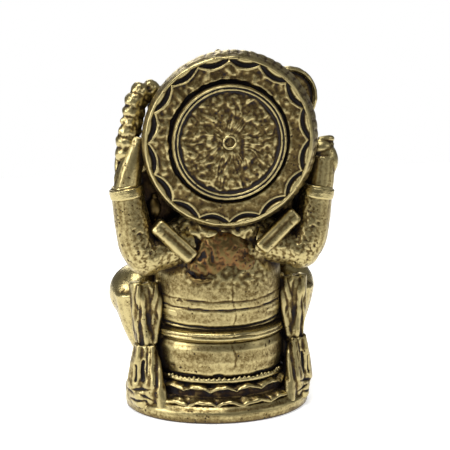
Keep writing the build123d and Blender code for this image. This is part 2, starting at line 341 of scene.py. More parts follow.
def ramp(value, start, end):
    """A soft step from 0 at start to 1 at end."""
    t = np.clip((value - start) / (end - start), 0, 1)
    return t * t * (3 - 2 * t)


def cast_skin(x, y, z, depth=0.035):
    """The faint unevenness and the small pits that a casting keeps."""
    lumps = grit(x, y, z, 1.3) * 0.6 + grit(x, y, z, 0.55, 1) * 0.4
    pits = ramp(grit(x, y, z, 0.42, 2), 0.55, 0.85) * ramp(grit(x, y, z, 2.6, 3), -0.1, 0.5)
    return depth * lumps - 0.09 * pits


def note_hollows(piece, reach=0.35):
    """Stores on each point its depth in a hollow, in mm: negative where it stands proud."""
    points, normals = points_of(piece)
    edges = np.empty(len(piece.data.edges) * 2, dtype=np.int64)
    piece.data.edges.foreach_get("vertices", edges)
    a, b = edges.reshape(-1, 2).T
    pitch = np.linalg.norm(points[a] - points[b], axis=1).mean()
    links = np.bincount(a, minlength=len(points)) + np.bincount(b, minlength=len(points))
    smooth = points.copy()
    for _ in range(int(np.clip((reach / pitch) ** 2, 2, 14))):
        sums = [
            np.bincount(a, smooth[b, i], len(points)) + np.bincount(b, smooth[a, i], len(points))
            for i in range(3)
        ]
        smooth = np.stack(sums, axis=1) / np.maximum(links, 1)[:, None]
    depth = ((smooth - points) * normals).sum(axis=1)
    hollow = piece.data.attributes.new("hollow", "FLOAT", "POINT")
    hollow.data.foreach_set("value", depth)


def other_side(piece, name):
    """A mirrored copy for the figurine's right."""
    choose(piece)
    bpy.ops.object.duplicate()
    twin = bpy.context.object
    twin.name = name
    bpy.ops.transform.resize(value=(-1, 1, 1), center_override=(0, 0, 0))
    bpy.ops.object.transform_apply(location=True, rotation=True, scale=True)
    bpy.ops.object.mode_set(mode="EDIT")
    bpy.ops.mesh.select_all(action="SELECT")
    bpy.ops.mesh.normals_make_consistent(inside=False)
    bpy.ops.object.mode_set(mode="OBJECT")
    return twin


def cast(piece, material, slot, *nodes):
    """Brings a finished wax to metres, gives it its metal and puts it in the place of its CAD nodes."""
    note_hollows(piece)
    choose(piece)
    bpy.ops.transform.resize(value=(MM, MM, MM), center_override=(0, 0, 0))
    bpy.ops.object.transform_apply(location=True, rotation=True, scale=True)
    bpy.ops.object.shade_smooth()
    piece.data.name = piece.name
    piece.data.materials.clear()
    piece.data.materials.append(bpy.data.materials[material])
    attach(piece, "root")
    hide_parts(*nodes)


def cast_pair(left, material, slot, node):
    """Casts a left piece and its mirror image in the place of NODE_left and NODE_right."""
    right = other_side(left, left.name.replace("left", "right"))
    cast(left, material, slot, f"{node}_left")
    cast(right, material, slot, f"{node}_right")


# ---- metal --------------------------------------------------------------------------------------
BRASS = "Aged lost-wax brass"
SMOOTH_BRASS = "Hand-rubbed brass"
# Blackened brass is dark patina, and on the ears it is also painted shade for the gap between ear and head.
BLACKENED_AND_SHADED_BRASS = "Blackened brass with painted shade"
RUDDY_BRASS = "Ruddy rough-cast brass"
RELIEF_BRASS = "Tarnished relief brass"


def add(tree, kind, settings=(), values=(), links=()):
    """Adds a shader node with its settings, input values and links."""
    made = tree.nodes.new("ShaderNode" + kind)
    for name, value in dict(settings).items():
        setattr(made, name, value)
    for socket, value in dict(values).items():
        made.inputs[socket].default_value = value
    for socket, output in dict(links).items():
        tree.links.new(output, made.inputs[socket])
    return made


def brass(name, high, middle, low, deep, tarnish=0.0, blotch=0.35, pits=1.0, roughness=0.3):
    """Brass cast in a clay mould, darkened all over, then rubbed back so that only hollows stay dark; shade is
    also painted into the colour where neighbouring pieces close a spot in.
    """
    material = bpy.data.materials.new(name)
    material.use_nodes = True
    tree = material.node_tree
    tree.nodes.clear()
    place_on = add(tree, "TexCoord").outputs["Object"]
    # How far the metal lies in a hollow of its own piece, in mm, where patina stays, and how far neighbours
    # close it in: that occlusion darkens the colour, partly as crevice patina and partly as painted shade.
    hollow = add(tree, "Attribute", {"attribute_name": "hollow"}).outputs["Fac"]
    own = add(tree, "MapRange",
              values={"From Min": -0.035, "From Max": 0.075, "To Min": -0.42, "To Max": 0.62},
              links={"Value": hollow}).outputs["Result"]
    open_air = add(tree, "AmbientOcclusion", {"samples": 8}, {"Distance": 1.6 * MM}).outputs["AO"]
    closed = add(tree, "MapRange", values={"From Min": 0.8, "From Max": 0.25, "To Min": 0.0, "To Max": 0.75},
                 links={"Value": open_air}).outputs["Result"]
    # Blotches of tarnish 3 mm across, and grains of 0.3 mm that the rubbing cloth skipped.
    blotches = add(tree, "TexNoise", values={"Scale": 1 / (3 * MM), "Detail": 4, "Roughness": 0.6},
                   links={"Vector": place_on}).outputs["Fac"]
    grains = add(tree, "TexNoise", values={"Scale": 1 / (0.32 * MM), "Detail": 3, "Roughness": 0.65},
                 links={"Vector": place_on}).outputs["Fac"]
    # Gas pits 0.15 mm across, in drifts.
    pit_cells = add(tree, "TexVoronoi", values={"Scale": 1 / (0.55 * MM)},
                    links={"Vector": place_on}).outputs["Distance"]
    pit_holes = add(tree, "MapRange", values={"From Min": 0.26, "From Max": 0.14}, links={"Value": pit_cells})
    drifts = add(tree, "MapRange", values={"From Min": 0.5, "From Max": 0.62}, links={"Value": blotches})
    pitted = add(tree, "Math", {"operation": "MULTIPLY"},
                 links={0: pit_holes.outputs["Result"], 1: drifts.outputs["Result"]}).outputs["Value"]
    # The darkness that picks colour, roughness and bareness: patina in hollows, painted shade where neighbours
    # close in, tarnish blotches, skipped grains and pits.
    tarnish_and_painted_shade = add(tree, "Math", {"operation": "ADD"}, links={0: own, 1: closed}).outputs["Value"]
    for share, source in ((blotch, blotches), (0.6, grains), (0.6 * pits, pitted)):
        tarnish_and_painted_shade = add(tree, "Math", {"operation": "MULTIPLY_ADD"}, {1: share},
                   {0: source, 2: tarnish_and_painted_shade}).outputs["Value"]
    tarnish_and_painted_shade = add(tree, "Math", {"operation": "ADD", "use_clamp": True},
               {1: tarnish - 0.5 * (blotch + 0.6) + 0.38},
               {0: tarnish_and_painted_shade}).outputs["Value"]
    colours = add(tree, "ValToRGB", links={"Fac": tarnish_and_painted_shade})
    stops = colours.color_ramp.elements
    stops[0].position, stops[0].color = 0.1, high
    stops[1].position, stops[1].color = 0.95, deep
    for position, colour in ((0.38, middle), (0.68, low)):
        stops.new(position).color = colour
    dull = add(tree, "MapRange",
               values={"From Min": 0.2, "From Max": 0.9, "To Min": roughness, "To Max": 0.68},
               links={"Value": tarnish_and_painted_shade}).outputs["Result"]
    bare = add(tree, "MapRange", values={"From Min": 0.6, "From Max": 1.0, "To Min": 1.0, "To Max": 0.35},
               links={"Value": tarnish_and_painted_shade}).outputs["Result"]
    # The skin of the mould: 0.32 mm grains and the pits, a few hundredths of a millimetre deep.
    skin = add(tree, "Math", {"operation": "MULTIPLY_ADD"}, {1: -0.9 * pits},
               {0: pitted, 2: grains}).outputs["Value"]
    bump = add(tree, "Bump", values={"Strength": 0.5, "Distance": 0.07 * MM},
               links={"Height": skin}).outputs["Normal"]
    metal = add(tree, "BsdfPrincipled", links={
        "Base Color": colours.outputs["Color"], "Metallic": bare, "Roughness": dull, "Normal": bump,
    })
    add(tree, "OutputMaterial", links={"Surface": metal.outputs["BSDF"]})
    return material


class FIGURINE_OT_metals(bpy.types.Operator):
    """Mixes the brass of each kind of surface"""
    bl_idname = "figurine.metals"
    bl_label = "Metals"

    def execute(self, context):
        c = context.scene.figurine_colours
        usual = (c.rubbed, c.golden, c.tarnished, c.blackened)
        brass(BRASS, *usual, tarnish=0.04)
        brass(SMOOTH_BRASS, *usual, tarnish=-0.05, blotch=0.3, pits=0.5, roughness=0.27)
        brass(RELIEF_BRASS, *usual, tarnish=0.1, blotch=0.35, roughness=0.36)
        dark = (c.golden, c.tarnished, c.blackened, c.blackened)
        brass(BLACKENED_AND_SHADED_BRASS, *dark, tarnish=0.15, roughness=0.4)
        ruddy = (c.golden, c.ruddy, c.tarnished, c.blackened)
        brass(RUDDY_BRASS, *ruddy, tarnish=0.06, blotch=0.6, pits=1.4, roughness=0.34)
        return {"FINISHED"}


# ---- halo ---------------------------------------------------------------------------------------
def stand_behind_head(piece, height):
    """Stands a disc turned about +Z up behind the head, its top face to the back."""
    upright = Matrix(((-1, 0, 0, 0), (0, 0, 1, 0), (0, 1, 0, 0), (0, 0, 0, 1)))
    return place(piece, (0, 0, height), upright)


def slip(piece, share, level):
    """Slips each layer of a disc sideways by its depth below a level, as when a mould closes off true."""
    points, _ = points_of(piece)
    points[:, 0] += share * (level - points[:, 2])
    return set_points(piece, points)


class FIGURINE_OT_halo(bpy.types.Operator):
    """Turns the halo's rim, plate, medallion and boss, and presses scallops and flames into them"""
    bl_idname = "figurine.halo"
    bl_label = "Halo"

    def execute(self, context):
        sizes = context.scene.figurine_sizes
        radius, height = sizes.halo_radius / MM, sizes.halo_height / MM
        scallops, petals = sizes.halo_scallops, sizes.flame_petals

        def scallop_edge(angle):
            """Where the flat of the plate ends: cusps reach outwards between the scallops."""
            share = (angle * scallops / (2 * math.pi)) % 1
            return radius - 0.98 - 0.92 * np.sin(np.pi * share) ** 0.75

        def plate_relief(x, y, z):
            away, angle = np.hypot(x, y), np.arctan2(y, x) + 0.015 * grit(x, y, z, 2.0, 5)
            back = ramp(z, 7.2, 7.5)
            past = away - scallop_edge(angle)
            share = (angle * scallops / (2 * math.pi)) % 1
            open_part = np.sin(np.pi * share) ** 0.5
            sunk = ramp(past, -0.06, 0.1) * (0.5 - 0.5 * ramp(past, 0.25, 0.85)) * open_part
            lip = 0.09 * band(past, -0.17, 0.13)
            rough = 0.35 + 0.65 * ramp(np.cos(angle - 2.2), -0.8, 0.3)
            hammered = (0.24 * grit(x, y, z, 1.1, 6) + 0.14 * grit(x, y, z, 0.55, 7)) * rough
            return back * (hammered * ramp(-past, 0.1, 0.3) + lip - sunk)

        def flames(x, y, z):
            """Worn tongues that fan out from the boss, broken into short curls."""
            away, angle = np.hypot(x, y), np.arctan2(y, x)
            angle = angle + 0.16 * grit(x, y, z, 1.6, 8)
            cluster = np.cos(petals * angle + 0.6)
            streaks = grit(4.4 * np.cos(angle), 4.4 * np.sin(angle), away / 2.3 + 0.25 * cluster, 0.62, 9)
            curls = grit(x, y, z, 0.8, 10)
            worn = 0.08 * grit(x, y, z, 0.6, 11) + 0.03 * grit(x, y, z, 0.32, 17)
            leaf = (0.1 * ramp(streaks, -0.4, 0.35) + 0.08 * ramp(curls, -0.3, 0.4)
                    - 0.05 * ramp(-cluster, 0.3, 0.95))
            return leaf * ramp(6.35 - away, 0, 0.5) * ramp(away, 1.1, 2.2) + worn

        def medallion_relief(x, y, z):
            away = np.hypot(x, y)
            field = ramp(6.4 - away, 0, 0.15)
            ring_wear = 0.03 * grit(x, y, z, 0.5, 12) * (1 - field)
            return ramp(z, 7.4, 8.0) * (flames(x, y, z) * field + ring_wear)

        def rim_relief(x, y, z):
            away, angle = np.hypot(x, y), np.arctan2(y, x)
            outside = ramp(away, radius - 0.55, radius - 0.1)
            worn = 0.35 + 0.65 * ramp(np.cos(angle - 0.5), -0.6, 0.9)
            gadroon = np.abs(np.sin(30 * angle + 1.2 * grit(x, y, z, 3.0, 13))) ** 0.6 - 0.7
            return (outside * (0.1 * worn * gadroon) + 0.04 * grit(x, y, z, 0.9, 14)
                    + 0.02 * grit(x, y, z, 0.4, 15))

        rim = turn_on_lathe("halo_rim_cast", [
            (radius - 1.5, 5.4), (radius - 0.25, 5.4), (radius, 5.7), (radius, 6.4), (radius - 0.3, 7.3),
            (radius - 0.62, 8.0), (radius - 0.85, 8.12), (radius - 1.05, 7.85), (radius - 1.2, 7.3),
            (radius - 1.5, 5.6), (radius - 1.5, 5.4),
        ], 640, step=0.11)
        stand_behind_head(slip(press(rim, rim_relief), 0.3, 8.1), height)
        cast(rim, BRASS, "rubbed_brass", "halo_rim")

        plate = turn_on_lathe("halo_plate_cast", [
            (0, 6.2), (radius - 0.95, 6.2), (radius - 0.8, 6.4), (radius - 0.8, 8.0), (7.95, 8.0),
            (7.8, 7.85), (7.7, 7.35), (7.35, 7.3), (7.2, 7.15), (0, 7.1),
        ], 560, step=0.1)
        stand_behind_head(press(plate, plate_relief), height)
        cast(plate, RELIEF_BRASS, "aged_brass", "halo_plate")

        medallion = turn_on_lathe("halo_medallion_cast", [
            (0, 7.2), (7.15, 7.2), (7.35, 7.5), (7.38, 8.5), (7.22, 8.82), (7.08, 8.84), (6.98, 8.66),
            (6.86, 8.62), (6.76, 8.8), (6.62, 8.78), (6.48, 8.4), (6.35, 8.34), (4.0, 8.4), (0, 8.4),
        ], 480, step=0.09, soften=2)
        stand_behind_head(press(medallion, medallion_relief), height)
        cast(medallion, RELIEF_BRASS, "dark_patina", "halo_medallion")

        boss = turn_on_lathe("halo_boss", [
            (0, 4.6), (0.55, 4.6), (0.55, 8.2), (0.98, 8.3), (0.92, 8.52), (0.78, 8.62), (0.64, 8.5),
            (0.55, 8.1), (0.3, 7.85), (0, 7.8),
        ], 64, step=0.1)
        stand_behind_head(press(boss, lambda x, y, z: 0.05 * grit(x, y, z, 0.5, 16)), height)
        cast(boss, BRASS, "rubbed_brass", "halo_rivet")
        return {"FINISHED"}


# ---- seat ---------------------------------------------------------------------------------------
class FIGURINE_OT_seat(bpy.types.Operator):
    """Turns the oval foot, the leaf row, the sunken pad and the leaf-edged cloth with its toothed trim"""
    bl_idname = "figurine.seat"
    bl_label = "Seat"

    def execute(self, context):
        sizes = context.scene.figurine_sizes
        half_width, half_depth = sizes.base_width / 2 / MM, sizes.base_depth / 2 / MM
        flat = (1, half_depth / half_width)
        petals, teeth = sizes.petals, sizes.teeth

        def outward(x, y):
            return np.arctan2(y / flat[1], x)

        def ruffle(piece, inner, lift, seed):
            """Droops a thin lip and waves it: one long wave to a leaf and a few short ones."""
            points, _ = points_of(piece)
            x, y, z = points.T
            angle = outward(x, y) + 0.06 * grit(x, y, z * 0, 2.5, seed)
            lip = ramp(np.hypot(x, y / flat[1]), inner, inner + 1.2)
            wave = (np.abs(np.sin(petals * angle / 2 + seed)) ** 0.8 - 0.55
                    + 0.05 * np.sin(2.3 * petals * angle + seed))
            points[:, 2] += lip * (lift * (wave - 0.7) + 0.07 * grit(x, y, z * 0, 1.0, seed + 1))
            return set_points(piece, points)

        foot = turn_on_lathe("foot_plinth", [
            (0, 0), (half_width - 0.35, 0), (half_width - 0.05, 0.25), (half_width, 0.9),
            (half_width - 0.1, 1.5),
            (half_width - 0.5, 1.95), (half_width - 1.0, 2.2), (0, 2.2),
        ], 320, step=0.22, oval=flat)
        press(foot, lambda x, y, z: ramp(z, 0.05, 0.4) * (
            0.07 * grit(x, y, z, 2.5, 20) + cast_skin(x, y, z)
            - 0.12 * ramp(z, 1.3, 1.7) * (1 - ramp(z, 1.9, 2.1)) * (0.5 + 0.5 * grit(x, y, z, 1.1, 21))))
        cast(foot, BRASS, "aged_brass", "base_plinth")

        row = turn_on_lathe("leaf_row", [
            (0, 1.9), (half_width - 1.6, 1.9), (half_width - 1.5, 2.3), (half_width - 0.95, 2.45),
            (half_width - 0.75, 2.7),
            (half_width - 0.9, 2.95), (half_width - 1.4, 3.1), (half_width - 2.2, 3.1), (0, 3.1),
        ], 480, step=0.12, oval=(1, (half_depth - 0.6) / (half_width - 0.7)))
        press(ruffle(row, half_width - 2.4, 0.55, 22), lambda x, y, z: 0.08 * grit(x, y, z, 0.55, 23))
        cast(row, BRASS, "dark_patina", "lotus_band")

        pad = turn_on_lathe("sunken_pad", [
            (0, 2.9), (half_width - 2.5, 2.9), (half_width - 2.7, 3.3), (half_width - 2.7, 4.0),
            (half_width - 2.5, 4.3), (0, 4.3),
        ], 160, step=0.2, oval=(1, (half_depth - 1.7) / (half_width - 2.6)))
        press(pad, lambda x, y, z: 0.12 * grit(x, y, z, 0.8, 24))
        cast(pad, BLACKENED_AND_SHADED_BRASS, "dark_patina", "seat_pad")

        hem = turn_on_lathe("cloth_edge", [
            (0, 4.0), (half_width - 3.4, 4.0), (half_width - 3.2, 4.3), (half_width - 2.55, 4.3),
            (half_width - 2.3, 4.5),
            (half_width - 2.5, 4.75), (half_width - 3.2, 4.95), (half_width - 4.0, 5.1), (0, 5.1),
        ], 480, step=0.12, oval=(1, (half_depth - 1.3) / (half_width - 2.3)))
        press(ruffle(hem, half_width - 4.0, 0.5, 26), lambda x, y, z: 0.08 * grit(x, y, z, 0.55, 27))
        cast(hem, BRASS, "aged_brass", "dhoti_hem")

        # Teeth this many degrees apart stand on a cord that runs across the back.
        pitch, cord_points = 4.4, 31
        turns = [math.radians(90 + pitch * (i - cord_points // 2)) for i in range(cord_points)]
        cord = [(8.7 * math.cos(turn), 0.6 + 7.8 * math.sin(turn), 5.15) for turn in turns]
        trim = [roll(cord, [0.32] * cord_points)]
        for i in range(teeth):
            angle = math.radians(90 + (i - teeth // 2) * pitch)
            spot = (8.72 * math.cos(angle), 0.6 + 7.82 * math.sin(angle), 5.4 + 0.1 * math.sin(1.3 * i))
            size = (0.2, 0.28, 0.26 + 0.05 * math.sin(2.3 * i))
            trim.append(lump(spot, size, (12, 0, math.degrees(angle) - 90)))
        beads = fuse("trim_teeth", trim, grain=0.1, soften=2)
        cast(beads, BRASS, "rubbed_brass", "hem_beads")
        return {"FINISHED"}


# ---- body ---------------------------------------------------------------------------------------
def crease(x, z, height, sag, width, seed):
    """A fold line round the back, sagging towards the spine: 1 on it, falling away above and below."""
    line = height - sag * (1 - (x / 8) ** 2) + 0.12 * grit(x, x * 0, z * 0, 1.5, seed)
    return band(z, line, width)


def mould_seam(x, z, middle, width, grain, seed):
    """The wandering line up the back where the mould's halves met: 1 on it, falling away beside it."""
    return band(x, middle + 0.4 * grit(x * 0, x * 0, z, grain, seed), width)


def back_relief(x, y, z):
    """Folds of flesh, the mould seam and the rough skin on the back; the belly keeps only its navel."""
    back = ramp(y, 0.5, 3.5)
    broken = 0.35 + 0.65 * ramp(grit(x, y * 0, z * 0, 1.6, 31), -0.3, 0.4)
    folds = (0.2 * crease(x, z, 14.75, 0.45, 0.09, 30) * broken
             + 0.1 * crease(x, z, 15.9, 0.5, 0.1, 37) * broken
             + 0.32 * crease(x, z, 12.3, 0.5, 0.15, 32))
    seam = 0.045 * mould_seam(x, z, -0.75, 0.12, 1.3, 33) * ramp(18.5 - z, 0, 2)
    rough = 0.09 * grit(x, y, z, 0.5, 34) * ramp(z, 16.2, 19) * ramp(6.6 - np.abs(x), 0, 2)
    beads = 0.09 * grit(x, y, z, 0.7, 35) * ramp(z, 22.4, 23.6)
    navel = 0.5 * band(np.hypot(x, z - 14.2), 0, 0.5) * ramp(-y, 2, 5)
    return back * (rough + beads - folds - seam) - navel + cast_skin(x, y, z)


class FIGURINE_OT_body(bpy.types.Operator):
    """Builds the hips, sash, belt, torso with its neck, the collar and the scarf end"""
    bl_idname = "figurine.body"
    bl_label = "Body"

    def execute(self, context):
        hips = turn_on_lathe("hips_cast", [
            (0, 4.8), (7.4, 4.85), (8.2, 5.2), (8.65, 6.0), (8.85, 7.4), (8.75, 9.2), (8.35, 10.15),
            (0, 10.4),
        ], 300, step=0.18, oval=(1, 7.9 / 8.7), soften=6)
        place(hips, (0, 0.5, 0))
        press(hips, lambda x, y, z: cast_skin(x, y, z) + ramp(y, 2, 4) * (
            -0.05 * mould_seam(x, z, -0.65, 0.13, 1.0, 36) * ramp(z, 6.6, 7.4)
            - 0.4 * band(np.hypot((x - 1.4) / 2.2, z - 5.75), 0, 0.22)
            - 0.14 * band(z, 5.75, 0.16) * ramp(np.abs(x), 2.8, 4.2)))
        cast(hips, BRASS, "aged_brass", "hips")

        sash = turn_on_lathe("sash_cast", [
            (0, 10.0), (7.9, 10.0), (8.5, 10.2), (8.9, 10.75), (8.75, 11.3), (8.3, 11.6), (7.6, 11.7),
            (0, 11.8),
        ], 300, step=0.15, oval=(1, 8.0 / 8.8), soften=4)
        place(sash, (0, 0.5, 0))
        press(sash, lambda x, y, z: cast_skin(x, y, z)
              + 0.05 * np.sin(9 * z + 2 * grit(x, y, z, 3, 38)) * ramp(y, 0, 3)
              - 0.05 * mould_seam(x, z, -0.7, 0.16, 1.0, 39) * ramp(y, 2, 4))
        cast(sash, SMOOTH_BRASS, "aged_brass", "waist_sash")

        belt = turn_on_lathe("belt_cast", [
            (6.6, 13.05), (8.3, 13.1), (8.56, 13.25), (8.64, 13.7), (8.6, 14.1), (8.3, 14.25), (6.6, 14.3),
            (6.6, 13.05),
        ], 300, step=0.15, oval=(1, 6.95 / 8.75), soften=2)
        place(belt, (0, 0.45, -0.05))
        press(belt, lambda x, y, z: cast_skin(x, y, z) + 0.08 * grit(x, y, z, 0.9, 40)
              - 0.25 * ramp(grit(x, y * 0, z, 1.3, 41), 0.4, 0.8))
        cast(belt, BRASS, "rubbed_brass", "waist_belt")

        barrel = turn_on_lathe("barrel", [
            (0, 11.3), (7.8, 11.3), (8.35, 12.0), (8.5, 13.5), (8.5, 16.5), (8.4, 18.5), (7.8, 20.6),
            (6.2, 22.4), (0, 23.2),
        ], 96, step=0.5, oval=(1, 0.82))
        torso = fuse("torso_cast", [
            place(barrel, (0, 0.45, 0)),
            lump((0, 0.5, 17.2), (8.5, 6.9, 5.4)),
            lump((0, -1.3, 15.8), (7.6, 6.6, 4.9)),
            lump((0, 1.7, 21.4), (8.1, 5.0, 3.6)),
            lump((0, 4.2, 20.0), (5.0, 2.7, 4.2)),
            lump((0, 2.3, 24.2), (7.6, 4.1, 2.6)),
            roll([(0, 1.8, 21.5), (0, 1.9, 24.5), (0, 1.6, 28)], [4.8, 4.4, 4.0]),
        ], grain=0.17, soften=14)
        press(torso, back_relief)
        cast(torso, BRASS, "aged_brass", "torso")

        collar_rings = []
        for drop, proud in ((0, 0.32), (1.0, 0.36)):
            wide, deep, dip = 7.3 + 0.4 * drop, 6.45 + 0.55 * drop, 2.7 + 0.4 * drop
            spots = []
            for i in range(25):
                angle = math.radians(180 + i * 7.5)
                height = 23.4 - drop - dip * math.sin(math.pi * i / 24) ** 1.3
                spots.append((wide * math.cos(angle), 0.4 + deep * math.sin(angle), height))
            collar_rings.append(roll(spots, [proud] * len(spots)))
            for i in range(2, 23, 2):
                x, y, z = spots[i]
                collar_rings.append(lump((x, y - 0.12, z), (0.42, 0.4, 0.42)))
        collar_rings.append(lump((0, -7.0, 18.8), (0.85, 0.5, 1.0)))
        collar = fuse("collar_cast", collar_rings, grain=0.13, soften=2)
        cast(collar, SMOOTH_BRASS, "rubbed_brass", "necklace")

        scarf = fuse("scarf_end_cast", [
            lump((0.3, 4.9, 21.4), (3.9, 2.35, 3.5), (-10, 0, 0)),
            lump((0.2, 4.2, 24.0), (2.9, 2.3, 1.9), (-20, 0, 0)),
            lump((1.9, 5.4, 20.0), (3.2, 1.9, 1.8), (-4, 0, 8)),
            lump((-1.9, 5.2, 20.2), (2.2, 1.9, 2.0)),
            roll([(5.0, 5.9, 19.3), (4.7, 6.7, 18.5), (3.4, 7.25, 18.15), (1.8, 7.3, 18.6)],
                 [0.26, 0.34, 0.34, 0.22]),
            roll([(2.6, 5.9, 23.6), (3.6, 6.5, 21.6), (4.6, 6.3, 19.6)], [0.35, 0.42, 0.36]),
            roll([(1.6, 6.6, 22.8), (2.5, 7.0, 21.0), (2.9, 7.05, 19.4)], [0.25, 0.34, 0.28]),
        ], grain=0.13, soften=9)
        press(scarf, lambda x, y, z: 0.08 * grit(x, y, z, 0.8, 42) + 0.055 * grit(x, y, z, 0.35, 43)
              + 0.05 * np.sin(5 * (x - 0.4 * z) + 3 * grit(x, y, z, 1.6, 44)) * ramp(x, 0.5, 2)
              - 0.4 * band(np.hypot((x + 0.4) / 1.3, z - 17.9), 0, 0.22))
        cast(scarf, RUDDY_BRASS, "reddish_patina", "scarf_end")
        return {"FINISHED"}


# ---- legs and cloth -----------------------------------------------------------------------------
class FIGURINE_OT_legs(bpy.types.Operator):
    """Builds the raised knees, shins, feet with their toes, anklets and the pleated cloth end in front"""
    bl_idname = "figurine.legs"
    bl_label = "Legs"

    def execute(self, context):
        knee = fuse("thigh_left_cast", [
            lump((9.9, -3.1, 14.8), (4.1, 4.3, 3.9), (0, 10, 0)),
            roll([(5.2, -0.2, 9.6), (7.8, -1.8, 11.4), (9.6, -3.2, 14.0)], [4.2, 4.3, 4.1]),
            roll([(10.8, -1.6, 15.4), (10.3, -1.4, 11), (9.0, -1.5, 7.6)], [2.9, 2.7, 1.9]),
        ], grain=0.19, soften=12)
        press(knee, cast_skin)
        cast_pair(knee, SMOOTH_BRASS, "aged_brass", "thigh")

        shin = fuse("shin_left_cast", [
            roll([(9.8, -4.6, 12.2), (7.4, -6.1, 9.3), (4.3, -6.3, 6.9)], [3.1, 2.4, 1.6]),
            lump((8.0, -5.2, 10.0), (2.8, 2.4, 2.3), (0, 40, 0)),
            lump((9.6, -4.3, 12.4), (3.15, 3.1, 2.9)),
        ], grain=0.17, soften=10)
        press(shin, cast_skin)
        cast_pair(shin, SMOOTH_BRASS, "aged_brass", "shin")

        toes = [
            roll([(3.75 + 0.5 * i, -8.1, 6.2), (3.85 + 0.6 * i, -9.2 + 0.12 * i, 6.0),
                  (3.9 + 0.62 * i, -9.7 + 0.22 * i, 5.75)],
                 [0.4, 0.38 - 0.02 * i, 0.3 - 0.02 * i])
            for i in range(1, 5)
        ]
        toes.append(roll([(3.7, -8.1, 6.3), (3.75, -9.2, 6.15), (3.7, -9.8, 5.9)], [0.5, 0.46, 0.42]))
        foot = fuse("foot_left_cast", [
            lump((4.1, -6.6, 6.3), (1.4, 1.5, 1.2)),
            lump((4.6, -7.7, 6.25), (1.35, 1.4, 0.85), (12, 0, -8)),
            *toes,
        ], grain=0.11, soften=3)
        cast_pair(foot, BRASS, "aged_brass", "foot")

        rings = []
        for side in (1, -1):
            lean = Vector((4.7 * side, 1.4, 4.2)).normalized()
            ankle = Vector((4.75 * side, -5.9, 7.3))
            for shift, thick in ((-0.35, 0.26), (0.15, 0.36)):
                rings.append(hoop(ankle + lean * shift, lean, 1.85, thick))
        anklets = fuse("anklets_cast", rings, grain=0.12, soften=2)
        cast(anklets, SMOOTH_BRASS, "rubbed_brass", "anklets")

        pleats = [
            roll([(0.55 * i, -6.6, 9.0), (0.75 * i, -8.1 + 0.05 * i * i, 7.4),
                  (0.95 * i, -8.3 + 0.06 * i * i, 5.6)],
                 [0.45, 0.5, 0.55])
            for i in range(-2, 3)
        ]
        pleats.append(roll([(-2.3, -7.9, 5.5), (-1.0, -8.5, 5.35), (0, -8.35, 5.55), (1.0, -8.5, 5.35),
                            (2.3, -7.9, 5.5)],
                           [0.28] * 5))
        drape = fuse("front_drape_cast", [
            slab((0, -7.2, 7.1), (3.9, 1.7, 3.9), edge=0.5),
            *pleats,
        ], grain=0.13, soften=3)
        press(drape, cast_skin)
        cast(drape, BRASS, "aged_brass", "front_drape")
        return {"FINISHED"}


